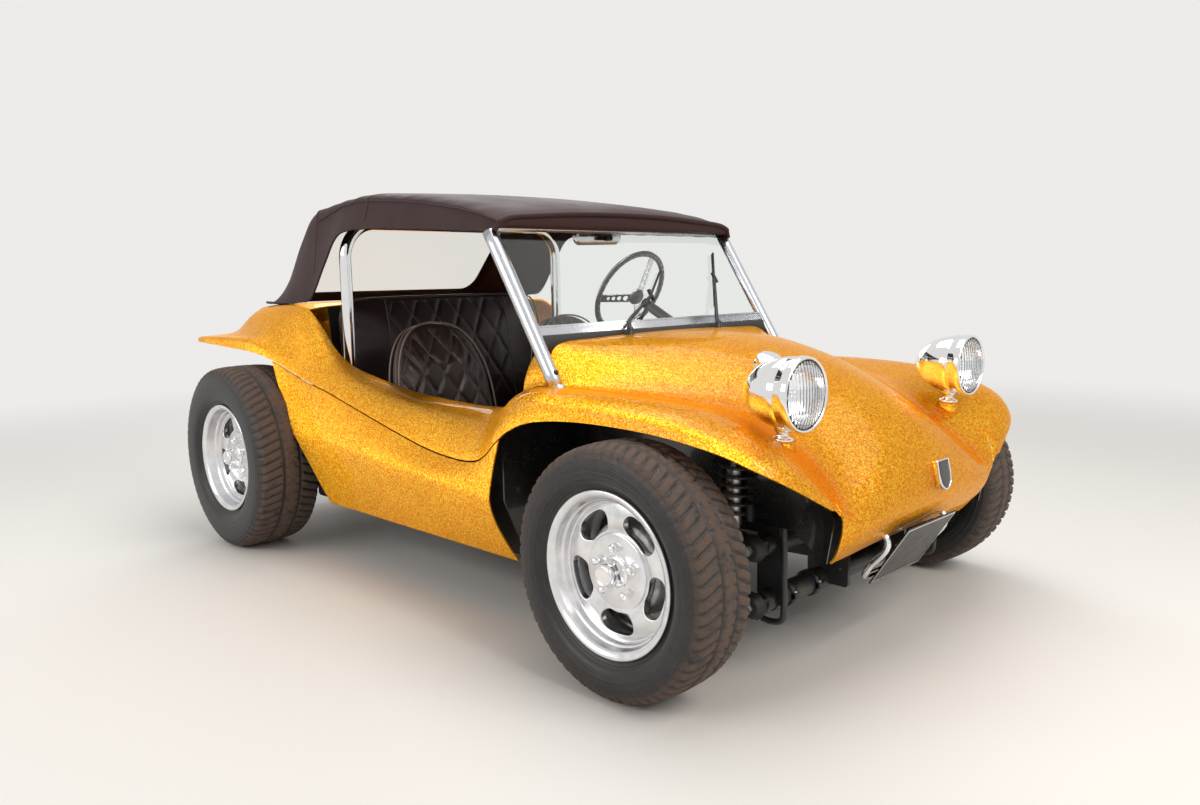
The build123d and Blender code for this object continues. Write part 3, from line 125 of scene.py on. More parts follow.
def new_finish(name):
    """A material with one Principled shader."""
    material = bpy.data.materials.new(name)
    material.use_nodes = True
    tree = material.node_tree
    return material, tree, tree.nodes["Principled BSDF"]


def pale_world():
    """White for the camera, through glass and in reflections; a softer grey as light on the car."""
    world = bpy.data.worlds.new("studio")
    bpy.context.scene.world = world
    world.use_nodes = True
    tree = world.node_tree
    path = tree.nodes.new("ShaderNodeLightPath").outputs
    seen = calculate(tree, "MAXIMUM", path["Is Camera Ray"], path["Is Transmission Ray"])
    seen = calculate(tree, "MAXIMUM", seen, path["Is Glossy Ray"])
    strength = calculate(tree, "MULTIPLY_ADD", seen, SEEN_STRENGTH - LIT_STRENGTH, LIT_STRENGTH)
    feed(tree, tree.nodes["Background"], {"Strength": strength, "Color": PALE})


def floor_material():
    """Pale matt floor that takes a soft shadow near the car. With distance it turns into the
    backdrop's own even tone, so there is no horizon."""
    material, tree, shader = new_finish("floor")
    feed(tree, shader, {"Base Color": (0.84, 0.82, 0.79, 1), "Roughness": 0.6})
    place = tree.nodes.new("ShaderNodeTexCoord").outputs["Object"]
    away = add_node(tree, "VectorMath", {0: place}, operation="LENGTH").outputs["Value"]
    far = add_node(tree, "MapRange", {"From Min": 2.4, "From Max": 7.0, "Value": away},
                   interpolation_type="SMOOTHSTEP")
    glow = add_node(tree, "Emission", {"Color": PALE, "Strength": SEEN_STRENGTH})
    mix = add_node(tree, "MixShader", {0: far.outputs[0], 1: shader.outputs[0], 2: glow.outputs[0]})
    feed(tree, tree.nodes["Material Output"], {"Surface": mix.outputs[0]})
    return material


pale_world()
bpy.context.scene.view_settings.view_transform = "Standard"
bpy.ops.mesh.primitive_plane_add(size=60, location=(0, 0, 0))
floor = bpy.context.object
floor.name = "floor"
floor.data.materials.append(floor_material())
print("floor", floor.dimensions[:2])

# %% Lamps
def soft_lamp(name, place, target, size, power, colour=(1, 1, 1)):
    """A rectangular area lamp at place that faces target."""
    data = bpy.data.lights.new(name, "AREA")
    data.shape = "RECTANGLE"
    data.size, data.size_y = size
    data.energy = power
    data.color = colour
    lamp = bpy.data.objects.new(name, data)
    bpy.context.scene.collection.objects.link(lamp)
    lamp.location = place
    lamp.rotation_euler = (Vector(target) - Vector(place)).to_track_quat("-Z", "Y").to_euler()


soft_lamp("key", (4.6, -0.2, 3.6), (0.6, 0, 0.5), (2.6, 2.6), 112, (1.0, 0.95, 0.88))
soft_lamp("side", (-0.8, -4.8, 2.6), (0, 0, 0.5), (4.5, 1.6), 80, (1.0, 0.97, 0.93))
soft_lamp("over", (0.2, 0.6, 4.4), (0, 0, 0.6), (5.0, 2.6), 92)
soft_lamp("behind", (-4.2, 3.0, 2.6), (0, 0, 0.6), (3.0, 2.0), 66, (0.95, 0.97, 1.0))
print("lamps", len(bpy.data.lights))

# %% [markdown]
# ## Helpers for surfaces
# Every new piece is a sheet of points: one point for each pair of parameters. These helpers
# carry a coarse net of points through smooth lines, turn a sheet of points into faces, and set
# its walls, its roundings and its finish.

# %% Smooth lines and nets
def smooth_line(points, steps):
    """Carries points (n, ...) through steps places between each two neighbours. Between two points
    the way is a cubic whose slope at each is half the step from the point before to the one after."""
    p = np.asarray(points, float)
    q = np.concatenate([2 * p[:1] - p[1:2], p, 2 * p[-1:] - p[-2:-1]])
    n = len(p) - 1
    t = np.linspace(0, n, n * steps + 1)
    k = np.minimum(t.astype(int), n - 1)
    f = (t - k).reshape((-1,) + (1,) * (p.ndim - 1))
    a, b, c, d = q[k], q[k + 1], q[k + 2], q[k + 3]
    return 0.5 * (2 * b + (c - a) * f + (2 * a - 5 * b + 4 * c - d) * f ** 2
                  + (3 * b - a - 3 * c + d) * f ** 3)


def smooth_net(net, steps_u, steps_v, ghosts=(0, 0, 0, 0)):
    """Smooths a net (rows, columns, 3) along its rows and then along its columns. Ghost rows and
    columns at the ends only steer the slope there and are cut away."""
    p = smooth_line(net, steps_u)
    p = np.swapaxes(smooth_line(np.swapaxes(p, 0, 1), steps_v), 0, 1)
    r0, r1, c0, c1 = ghosts
    return p[r0 * steps_u:p.shape[0] - r1 * steps_u, c0 * steps_v:p.shape[1] - c1 * steps_v]


def travelled(line):
    """The distance travelled along a line at each of its points."""
    return np.concatenate([[0], np.cumsum(np.linalg.norm(np.diff(line, axis=0), axis=1))])


def even_loop(corners, steps):
    """Points at even steps along the closed line through corners (n, 2)."""
    loop = np.concatenate([corners, corners[:1]])
    way = travelled(loop)
    at = np.linspace(0, way[-1], steps, endpoint=False)
    return np.stack([np.interp(at, way, loop[:, 0]), np.interp(at, way, loop[:, 1])], -1)


def rounded_rectangle(half_a, half_b, corner, grow=0.0, steps=9):
    """Quarter rounds about four corner centres, joined by straight sides, and grown by a margin."""
    turn = np.linspace(0, np.pi / 2, steps)
    signs = ((1, 1), (-1, 1), (-1, -1), (1, -1))
    rounds = [np.stack([a * (half_a - corner) + (corner + grow) * np.cos(turn + k * np.pi / 2),
                        b * (half_b - corner) + (corner + grow) * np.sin(turn + k * np.pi / 2)], -1)
              for k, (a, b) in enumerate(signs)]
    return np.concatenate(rounds)


def smooth_step(value, low, high):
    """0 below low, 1 above high, and 3t2 - 2t3 of the share between."""
    t = np.clip((value - low) / (high - low), 0, 1)
    return t * t * (3 - 2 * t)


def unit(way):
    """A direction of length one."""
    way = np.asarray(way, float)
    return way / np.linalg.norm(way, axis=-1, keepdims=True)


def mirrored(points):
    """The same sheet of points on the car's other side."""
    return points * np.array([1.0, -1.0, 1.0])


print("a line of 3 points in 4 steps:", smooth_line([(0, 0), (1, 1), (2, 0)], 4).shape)

# %% Sheets and solids
def grid_faces(nu, nv, wrap_u=False, wrap_v=False, start=0):
    """Four corners of each cell between neighbouring parameters, as vertex numbers."""
    a, b = np.meshgrid(np.arange(nu if wrap_u else nu - 1), np.arange(nv if wrap_v else nv - 1),
                       indexing="ij")
    a2, b2 = (a + 1) % nu, (b + 1) % nv
    quads = np.stack([a * nv + b, a2 * nv + b, a2 * nv + b2, a * nv + b2], -1)
    return quads.reshape(-1, 4) + start


def make_object(name, vertices, faces, smooth=True):
    """Puts vertices and four-cornered faces into a mesh object at the origin."""
    vertices = np.asarray(vertices, np.float32).reshape(-1, 3)
    faces = np.asarray(faces, np.int32)
    mesh = bpy.data.meshes.new(name)
    mesh.vertices.add(len(vertices))
    mesh.vertices.foreach_set("co", vertices.ravel())
    mesh.loops.add(faces.size)
    mesh.loops.foreach_set("vertex_index", faces.ravel())
    mesh.polygons.add(len(faces))
    mesh.polygons.foreach_set("loop_start", np.arange(0, faces.size, 4))
    mesh.polygons.foreach_set("use_smooth", np.full(len(faces), smooth))
    mesh.update(calc_edges=True)
    mesh.validate()
    piece = bpy.data.objects.new(name, mesh)
    bpy.context.scene.collection.objects.link(piece)
    return piece


def surface(name, points, wrap_u=False, wrap_v=False, flip=False, smooth=True):
    """A sheet of points (nu, nv, 3) as a mesh object, with its two parameters kept as a UV map."""
    nu, nv = points.shape[:2]
    quads = grid_faces(nu, nv, wrap_u, wrap_v)[:, ::-1 if flip else 1]
    piece = make_object(name, points, quads, smooth)
    u, v = quads // nv, quads % nv
    if wrap_u:
        u = np.where((u == 0) & (u.max(1, keepdims=True) == nu - 1), nu, u)
    if wrap_v:
        v = np.where((v == 0) & (v.max(1, keepdims=True) == nv - 1), nv, v)
    uv = np.stack([u / max(nu - 1, 1), v / max(nv - 1, 1)], -1).reshape(-1, 2)
    if len(piece.data.loops) * 2 == uv.size:
        layer = piece.data.uv_layers.new(name="UVMap")
        layer.data.foreach_set("uv", uv.astype(np.float32).ravel())
    return piece


def merge(piece, distance=1e-6, outward=True):
    """Closes seams and poles, and on a closed form turns every face outwards."""
    bm = bmesh.new()
    bm.from_mesh(piece.data)
    bmesh.ops.remove_doubles(bm, verts=bm.verts, dist=distance)
    bmesh.ops.dissolve_degenerate(bm, edges=bm.edges, dist=distance)
    if outward:
        bmesh.ops.recalc_face_normals(bm, faces=bm.faces)
    bm.to_mesh(piece.data)
    bm.free()
    return piece


def solid(name, points, wrap_u=False, wrap_v=True, smooth=True):
    """A closed form made of one sheet of points."""
    return merge(surface(name, points, wrap_u, wrap_v, smooth=smooth))


def face_towards(piece, way):
    """Turns an open sheet over if most of its area looks away from a direction."""
    if sum(face.normal.dot(way) * face.area for face in piece.data.polygons) < 0:
        piece.data.flip_normals()


def select_only(pieces):
    """Selects these objects alone and makes the first of them active."""
    for other in bpy.context.selected_objects:
        other.select_set(False)
    for piece in pieces:
        piece.select_set(True)
    bpy.context.view_layer.objects.active = pieces[0]


def modify(piece, kind, **values):
    """Adds a modifier and applies it to the mesh."""
    modifier = piece.modifiers.new(kind.lower(), kind)
    for key, value in values.items():
        setattr(modifier, key, value)
    select_only([piece])
    bpy.ops.object.modifier_apply(modifier=modifier.name)
    return piece


def soften(piece, width, degrees, segments=1):
    """Takes the sharpness off every edge that bends by more than so many degrees."""
    return modify(piece, "BEVEL", width=width, segments=segments, limit_method="ANGLE",
                  angle_limit=math.radians(degrees))


def joined(name, parts):
    """Several mesh objects as one, with their materials kept."""
    select_only(parts)
    bpy.ops.object.join()
    parts[0].name = parts[0].data.name = name
    return parts[0]


def finish_piece(piece, material, replaces=(), body="chassis"):
    """Gives a piece its finish and its body, and hides the solids it stands for."""
    piece.data.materials.clear()
    piece.data.materials.append(material)
    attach(piece, body)
    if replaces:
        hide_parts(*replaces)


def attribute(piece, name, values):
    """One number per vertex that a material can read."""
    layer = piece.data.attributes.new(name, "FLOAT", "POINT")
    layer.data.foreach_set("value", np.asarray(values, np.float32).ravel())


print("sheets become objects")

# %% Turned forms and tubes
def turned(profile, steps, axis="Y"):
    """Turns a profile about the Y or the Z axis. The profile is (m, 2): how far along the axis, and
    the radius there. The angle round the axis is the other parameter."""
    profile = np.asarray(profile, float)
    angle = np.linspace(0, 2 * np.pi, steps, endpoint=False)[:, None]
    along = np.broadcast_to(profile[:, 0], (steps, len(profile)))
    first, second = profile[:, 1] * np.cos(angle), profile[:, 1] * np.sin(angle)
    return np.stack((second, along, first) if axis == "Y" else (first, second, along), -1)


def tube(path, radius, steps=16, closed=False):
    """A round tube: rings square to the path's direction, turned as little as possible between
    neighbours. The radius may be one number or one for every point of the path."""
    path = np.asarray(path, float)
    if closed:
        way = unit(np.roll(path, -1, 0) - np.roll(path, 1, 0))
    else:
        way = unit(np.gradient(path, axis=0))
    side = unit(np.cross(way, np.eye(3)[np.argmin(np.abs(way).max(0))]))
    third = np.cross(way, side)
    angle = np.linspace(0, 2 * np.pi, steps, endpoint=False)[None, :, None]
    radius = np.broadcast_to(np.asarray(radius, float), len(path))[:, None, None]
    return path[:, None] + radius * (side[:, None] * np.cos(angle) + third[:, None] * np.sin(angle))


def capped(rings):
    """Rings (n, m, 3) with one more at each end, drawn in to its middle, so that the form closes."""
    rings = np.asarray(rings)
    first, last = (np.broadcast_to(ring.mean(0), ring.shape)[None] for ring in (rings[0], rings[-1]))
    return np.concatenate([first, rings, last])


def capped_tube(name, path, radius, steps=16):
    """A tube whose ends close on their middle points."""
    return solid(name, capped(tube(path, radius, steps)))


def piping(name, path, radius, steps=10):
    """A thin tube along a closed path."""
    return solid(name, tube(path, radius, steps, closed=True), True)


print("helpers ready")

# %% [markdown]
# ## Finishes
# Each finish is a tree of nodes that reads the object's own coordinates, so its detail has a real
# size. The body's gold lacquer comes first: millimetre flakes of foil lie at their own tilts under
# a thick clear coat, and a few larger ones carry a painted sparkle, a pale bright colour.

# %% Finish helpers
def noise(tree, scale, detail=2.0, roughness=0.5, stretch=None):
    """Soft noise in the object's coordinates, in repeats per metre."""
    place = tree.nodes.new("ShaderNodeTexCoord").outputs["Object"]
    if stretch is not None:
        place = add_node(tree, "Mapping", {"Scale": stretch, "Vector": place}).outputs[0]
    inputs = {"Vector": place, "Scale": scale, "Detail": detail, "Roughness": roughness}
    return add_node(tree, "TexNoise", inputs).outputs[0]


def pattern(tree, kind, scale, **settings):
    """Cells or waves in the object's coordinates; gives all the node's outputs."""
    place = tree.nodes.new("ShaderNodeTexCoord").outputs["Object"]
    return add_node(tree, kind, {"Vector": place, "Scale": scale, "Detail": 2.0}, **settings).outputs


def mark(tree, name):
    """The number that a mesh carries under a name."""
    return add_node(tree, "Attribute", {}, attribute_name=name).outputs["Fac"]


def ramp(tree, source, stops):
    """Turns a number into a colour through stops (place, colour)."""
    node = add_node(tree, "ValToRGB", {"Fac": source})
    stop = node.color_ramp.elements
    stop[0].position, stop[0].color = stops[0]
    stop[1].position, stop[1].color = stops[-1]
    for place, colour in stops[1:-1]:
        stop.new(place).color = colour
    return node.outputs["Color"]


def drift(tree, source, dark, light, low=0.3, high=0.7):
    """A colour that goes from dark to light while a number goes from low to high."""
    return ramp(tree, source, [(low, dark + (1,)), (high, light + (1,))])


def span(tree, source, low, high, to_low=0.0, to_high=1.0):
    """Stretches a number's range onto another, held at both ends."""
    inputs = {"Value": source, "From Min": low, "From Max": high, "To Min": to_low, "To Max": to_high}
    return add_node(tree, "MapRange", inputs).outputs["Result"]


def blend_colour(tree, factor, first, second, **settings):
    """Mixes two colours; each may be a plain colour or a node's output."""
    inputs = {"Factor": factor, 6: first, 7: second}
    return add_node(tree, "Mix", inputs, data_type="RGBA", **settings).outputs[2]


def bump(tree, shader, height, distance, strength=1.0, **after):
    """Lets a number stand as relief of a real height in metres."""
    inputs = {"Distance": distance, "Strength": strength, "Height": height, **after}
    feed(tree, shader, {"Normal": add_node(tree, "Bump", inputs).outputs[0]})


def feed_shader(material, inputs):
    """Sets inputs of a material's Principled shader."""
    tree = material.node_tree
    feed(tree, tree.nodes["Principled BSDF"], inputs)
    return material


print("finish helpers ready")

# %% Gold flake lacquer
def gold_flake():
    """Cells of two sizes tilt the surface by a small random amount each; the few large cells whose
    random number is highest get a painted sparkle, a pale bright colour. A clear coat lies over all of it."""
    material, tree, _ = new_finish("gold_flake")
    way = tree.nodes.new("ShaderNodeNewGeometry").outputs["Normal"]
    numbers = []
    for scale, lean in ((620.0, 0.42), (300.0, 0.22)):
        random = pattern(tree, "TexVoronoi", scale)["Color"]
        tilt = calculate(tree, "SUBTRACT", random, (0.5, 0.5, 0.5), kind="VectorMath")
        way = calculate(tree, "MULTIPLY_ADD", tilt, (lean, lean, lean), way, kind="VectorMath")
        numbers.append(add_node(tree, "SeparateColor", {0: random}).outputs[0])
    base = ramp(tree, numbers[0], [(0.0, (0.34, 0.068, 0.0, 1)), (0.45, (0.66, 0.165, 0.0, 1)),
                                   (0.85, (0.9, 0.26, 0.0, 1)), (1.0, (1.0, 0.42, 0.006, 1))])
    # painted sparkle: a few large flakes are coloured pale and bright as if they caught the light
    painted_sparkle = span(tree, numbers[1], 0.95, 0.96)
    base = blend_colour(tree, painted_sparkle, base, (1.0, 0.62, 0.07, 1))
    shade = drift(tree, noise(tree, 5.0, 3.0), (0.9, 0.88, 0.84), (1, 1, 1))
    return feed_shader(material, {
        "Base Color": blend_colour(tree, 1.0, base, shade, blend_type="MULTIPLY"),
        "Normal": calculate(tree, "NORMALIZE", way, kind="VectorMath"), "Metallic": 0.84,
        "Specular IOR Level": 0.1, "Roughness": 0.34, "Specular Tint": (1.0, 0.66, 0.16, 1),
        "Coat Weight": 0.32, "Coat Tint": (1.0, 0.86, 0.42, 1), "Coat Roughness": 0.02, "Coat IOR": 1.4})


GOLD = gold_flake()
print("gold nodes", len(GOLD.node_tree.nodes))

# %% Metals
def metal(name, colour, roughness, mottled=0.06, scale=18.0, darker=0.85, brushed=None, height=0.0):
    """A bare or plated metal: its roughness drifts a little and its colour is duller in patches."""
    material, tree, shader = new_finish(name)
    dull = tuple(c * darker for c in colour)
    grain = noise(tree, 60.0 if brushed is None else 30.0, 4.0, stretch=brushed)
    if height:
        bump(tree, shader, grain, height)
    return feed_shader(material, {
        "Base Color": drift(tree, noise(tree, scale, 5.0, 0.65), dull, colour, 0.35, 0.6), "Metallic": 1.0,
        "Roughness": span(tree, grain, 0.3, 0.7, roughness - mottled * 0.5, roughness + mottled)})


CHROME = metal("chrome", (0.86, 0.86, 0.87), 0.05, 0.03, darker=0.97)
ALLOY = metal("polished_alloy", (0.8, 0.8, 0.81), 0.16, 0.08, 22.0, 0.9, (1, 1, 1), 0.00002)
POST_ALLOY = metal("drawn_alloy", (0.6, 0.62, 0.66), 0.24, 0.08, 14.0, 0.93, (1.0, 14.0, 1.0), 0.00002)
STEEL = metal("steel", (0.5, 0.5, 0.5), 0.34, 0.12, 26.0, 0.75, height=0.00005)
CAST = metal("cast_alloy", (0.42, 0.42, 0.41), 0.5, 0.15, 40.0, 0.55, height=0.0003)
EXHAUST = metal("exhaust_steel", (0.33, 0.29, 0.26), 0.42, 0.15, 12.0, 0.5, height=0.0001)
MIRROR = metal("mirror", (0.9, 0.91, 0.92), 0.02, 0.01, darker=0.99)
print("metals", 7)

# %% Paint, plastic and rubber
def black_paint(name, shade, roughness, coat, dust):
    """Black paint with road dust that gathers in soft patches, and a fine orange peel."""
    material, tree, shader = new_finish(name)
    patches = noise(tree, 9.0, 7.0, 0.7)
    amount = span(tree, patches, 0.5, 0.8, 0.0, dust)
    bump(tree, shader, noise(tree, 260.0, 1.0), 0.00012, 0.5)
    return feed_shader(material, {
        "Base Color": blend_colour(tree, amount, (shade, shade, shade * 1.05, 1), (0.2, 0.14, 0.09, 1)),
        "Roughness": span(tree, patches, 0.4, 0.8, roughness, roughness + 0.4 * dust + 0.1),
        "Coat Weight": coat, "Coat Roughness": 0.05})


def moulded(name, colour, roughness, scale=320.0, height=0.00008, specular=0.5):
    """Moulded plastic or rubber with a fine even grain and a little dulling."""
    material, tree, shader = new_finish(name)
    soft = noise(tree, 30.0, 4.0)
    pale = tuple(min(1.0, c * 1.5 + 0.004) for c in colour)
    bump(tree, shader, noise(tree, scale), height, 0.6)
    return feed_shader(material, {
        "Base Color": drift(tree, soft, colour, pale, 0.35, 0.75), "Specular IOR Level": specular,
        "Roughness": span(tree, soft, 0.3, 0.7, roughness - 0.06, roughness + 0.08)})


GLOSS_BLACK = black_paint("gloss_black", 0.008, 0.22, 0.5, 0.1)
CHASSIS_BLACK = black_paint("chassis_black", 0.018, 0.38, 0.15, 0.55)
BLACK_RUBBER = moulded("black_rubber", (0.012, 0.012, 0.012), 0.55)
BLACK_PLASTIC = moulded("black_plastic", (0.01, 0.01, 0.011), 0.42)
BLANK_PLATE = moulded("blank_plate", (0.004, 0.004, 0.005), 0.2, 500.0, 0.000004, 0.25)
print("blacks", 5)

# %% Vinyl and carpet
def vinyl(name, dark, light, roughness, grain_scale, height, sheen, specular=0.5):
    """Coated cloth: cells a few millimetres across stand up between fine creases. The creases carry
    painted shade, 0.45 times the dark colour; on the crowns the colour drifts at random from dark to light."""
    material, tree, shader = new_finish(name)
    edge = pattern(tree, "TexVoronoi", grain_scale, feature="DISTANCE_TO_EDGE")["Distance"]
    soft = noise(tree, 7.0, 6.0, 0.6)
    crown = span(tree, edge, 0.0, 0.25)
    # deep is painted shade for the creases: the dark colour at 0.45
    deep = tuple(c * 0.45 for c in dark) + (1,)
    relief = calculate(tree, "MULTIPLY_ADD", noise(tree, 55.0, 5.0), 1.6, crown)
    bump(tree, shader, relief, height, 0.8)
    return feed_shader(material, {
        "Base Color": blend_colour(tree, crown, deep, drift(tree, soft, dark, light)),
        "Roughness": span(tree, soft, 0.3, 0.7, roughness - 0.07, roughness + 0.08),
        "Specular IOR Level": specular, "Sheen Weight": sheen, "Sheen Roughness": 0.5})


def carpet():
    """Short pile: a fine clumped noise both colours the surface and roughens it."""
    material, tree, shader = new_finish("carpet")
    tuft = pattern(tree, "TexVoronoi", 380.0)["Distance"]
    tone = drift(tree, noise(tree, 90.0, 6.0), (0.01, 0.006, 0.005), (0.035, 0.02, 0.016))
    bump(tree, shader, tuft, 0.0012, 0.8)
    colour = blend_colour(tree, span(tree, tuft, 0.0, 0.6), tone, (0.006, 0.004, 0.003, 1))
    return feed_shader(material, {"Base Color": colour, "Roughness": 0.95, "Sheen Weight": 0.3})


ROOF_VINYL = vinyl("roof_vinyl", (0.04, 0.01, 0.011), (0.066, 0.018, 0.02), 0.58, 520.0, 0.00018, 0.05, 0.3)
SEAT_VINYL = vinyl("seat_vinyl", (0.04, 0.014, 0.01), (0.072, 0.026, 0.018), 0.4, 460.0, 0.00015, 0.08)
PIPING = vinyl("piping", (0.3, 0.2, 0.16), (0.42, 0.3, 0.24), 0.5, 600.0, 0.0001, 0.1)
CARPET = carpet()
print("cloths", 4)

# %% Glass and lenses
def clear_glass(name, colour, roughness=0.0, waves=0.0):
    """Glass that lets light through, with the faint streaks of wiped dust, and flutes on a lens."""
    material, tree, shader = new_finish(name)
    if waves:
        flutes = pattern(tree, "TexWave", 26.0, wave_type="BANDS", bands_direction="Y")[0]
        bump(tree, shader, flutes, waves, 0.7)
    return feed_shader(material, {"Roughness": span(tree, noise(tree, 6.0, 6.0, stretch=(1, 3, 1)), 0.45, 0.8,
                                                    roughness, roughness + 0.06), "Base Color": colour + (1,),
                                  "Transmission Weight": 1.0, "IOR": 1.45})


GLASS = clear_glass("clear_glass", (0.93, 0.97, 0.95))
LENS = clear_glass("fluted_lens", (0.97, 0.98, 1.0), 0.02, 0.0012)
CLEAR_VINYL = clear_glass("clear_vinyl", (0.96, 0.94, 0.9), 0.03)
RED_LENS = clear_glass("red_lens", (0.75, 0.02, 0.015), 0.08, 0.001)
print("finishes", len(bpy.data.materials))

# %% [markdown]
# ## The moulded body
# The real body is one moulding: a bonnet and a nose, a deck over the engine, and a long strip on
# each side that starts as the rear wing, dips as the cockpit's edge and rises into the front wing.
# So it is made from three nets of points whose shared rows and columns carry the same points, and
# the reflections run on from one to the next.

# %% Side strip from tail to front wing tip
# Each row, in millimetres: distance from the rear axle, then y and z of six points from the inner edge
# outwards.
STRIP = np.array([
    (-550, 435, 836, 500, 818, 565, 803, 635, 797, 700, 794, 712, 776),
    (-490, 462, 862, 523, 836, 582, 806, 645, 797, 713, 797, 725, 776),
    (-400, 503, 893, 555, 861, 606, 811, 662, 798, 724, 801, 736, 774),
    (-270, 548, 916, 592, 884, 634, 828, 678, 805, 731, 803, 741, 770),
    (-140, 576, 927, 612, 899, 648, 844, 687, 812, 731, 802, 740, 764),
    (0, 590, 932, 622, 906, 655, 856, 690, 818, 728, 797, 736, 757),
    (120, 596, 931, 624, 904, 653, 855, 683, 806, 713, 768, 722, 737),
    (240, 600, 918, 624, 890, 648, 838, 671, 780, 696, 728, 704, 700),
    (335, 603, 860, 626, 842, 650, 800, 671, 745, 692, 695, 700, 672),
    (430, 600, 775, 624, 765, 650, 738, 673, 704, 692, 670, 700, 653),
    (530, 588, 717, 616, 714, 646, 700, 672, 676, 692, 650, 700, 635),
    (690, 568, 676, 600, 675, 637, 664, 667, 642, 691, 614, 700, 598),
    (900, 555, 643, 592, 641, 632, 629, 665, 602, 691, 570, 701, 551),
    (1120, 550, 631, 590, 627, 632, 611, 667, 577, 692, 532, 702, 506),
    (1290, 550, 630, 592, 626, 636, 606, 672, 567, 698, 518, 708, 491),
    (1400, 552, 645, 597, 641, 643, 620, 680, 580, 708, 527, 717, 499),
    (1470, 557, 682, 604, 678, 652, 657, 691, 617, 721, 562, 730, 528),
    (1530, 560, 712, 608, 709, 658, 694, 702, 663, 735, 607, 743, 569),
    (1600, 542, 716, 594, 717, 648, 714, 700, 700, 738, 655, 748, 612),
    (1700, 516, 712, 575, 717, 636, 722, 695, 716, 738, 686, 750, 645),
    (1860, 488, 702, 553, 711, 620, 720, 686, 719, 736, 698, 749, 661),
    (2040, 460, 688, 530, 700, 602, 711, 672, 712, 729, 694, 744, 660),
    (2172, 450, 667, 520, 683, 590, 695, 658, 696, 716, 680, 735, 649),
    (2290, 441, 612, 504, 636, 568, 655, 632, 662, 690, 652, 713, 626),
    (2365, 436, 548, 490, 580, 544, 606, 600, 620, 655, 617, 682, 596),
    (2415, 430, 492, 468, 520, 508, 545, 548, 562, 588, 567, 612, 552),
    (2440, 425, 455, 432, 461, 440, 467, 450, 473, 460, 478, 468, 474),
]) / 1000
strip_net = np.stack([np.repeat(STRIP[:, :1], 6, 1) + REAR_X, STRIP[:, 1::2], STRIP[:, 2::2]], -1)
print("strip rows", len(STRIP))

# %% Bonnet and nose
# Each row, in millimetres: six points from the centre line to the strip's inner edge, each with its x
# from the rear axle, its y and its z.
# Rows run from the windscreen to the lip under the nose. The first row only steers the slope.
SCUTTLE_ROW = 17
BONNET = np.array([
    (1470, 0, 838, 1470, 170, 837, 1470, 340, 835, 1470, 505, 828, 1470, 546, 765, 1470, 557, 682),
    (1530, 0, 846, 1530, 170, 844, 1530, 335, 840, 1530, 494, 831, 1530, 542, 780, 1530, 560, 712),
    (1600, 0, 849, 1600, 155, 846, 1600, 305, 837, 1600, 446, 815, 1600, 504, 764, 1600, 542, 716),
    (1700, 0, 848, 1700, 140, 842, 1700, 270, 826, 1700, 385, 791, 1700, 455, 744, 1700, 516, 712),
    (1860, 0, 838, 1860, 125, 829, 1860, 235, 805, 1860, 335, 762, 1860, 412, 722, 1860, 488, 702),
    (2040, 0, 801, 2040, 110, 790, 2040, 205, 762, 2040, 295, 722, 2040, 378, 696, 2040, 460, 688),
    (2172, 0, 756, 2172, 105, 742, 2172, 200, 710, 2172, 285, 674, 2172, 366, 657, 2172, 450, 667),
    (2290, 0, 702, 2290, 105, 684, 2290, 200, 643, 2290, 285, 600, 2290, 362, 585, 2290, 441, 612),
    (2375, 0, 651, 2372, 110, 630, 2368, 208, 586, 2365, 292, 541, 2364, 364, 522, 2365, 436, 548),
    (2437, 0, 594, 2433, 118, 575, 2426, 225, 538, 2419, 315, 495, 2416, 376, 477, 2415, 430, 492),
    (2469, 0, 532, 2465, 126, 517, 2456, 240, 488, 2448, 328, 458, 2443, 384, 445, 2440, 425, 455),
    (2479, 0, 478, 2475, 128, 466, 2466, 245, 446, 2455, 332, 424, 2444, 382, 412, 2430, 408, 408),
    (2470, 0, 428, 2466, 127, 419, 2456, 243, 403, 2442, 326, 384, 2427, 370, 372, 2412, 392, 366),
    (2440, 0, 378, 2436, 124, 372, 2426, 236, 360, 2412, 312, 346, 2400, 352, 338, 2392, 374, 332),
    (2405, 0, 338, 2401, 122, 334, 2392, 230, 326, 2382, 304, 316, 2374, 342, 310, 2370, 360, 306),
]).reshape(-1, 6, 3) / 1000
BONNET[..., 0] += REAR_X
half_rows = np.concatenate([BONNET, BONNET[:, -1:]], 1)
tip_row = len(STRIP) - 1 - (SCUTTLE_ROW - 1)
half_rows[:tip_row + 1, 6] = strip_net[SCUTTLE_ROW - 1:, 1]
below = np.arange(tip_row + 1, len(BONNET))
half_rows[below, 6] = 2 * BONNET[below, 5] - BONNET[below, 4]
bonnet_net = np.concatenate([mirrored(half_rows)[:, :0:-1], half_rows], 1)
bonnet = smooth_net(bonnet_net, 8, 7, (1, 0, 1, 1))
steer = 2 * strip_net[:, 0] - strip_net[:, 1]
steer[SCUTTLE_ROW:] = half_rows[1:tip_row + 1, 4]
strip = smooth_net(np.concatenate([steer[:, None], strip_net], 1), 8, 7, (0, 0, 1, 0))
print("bonnet", bonnet.shape, "strip", strip.shape)

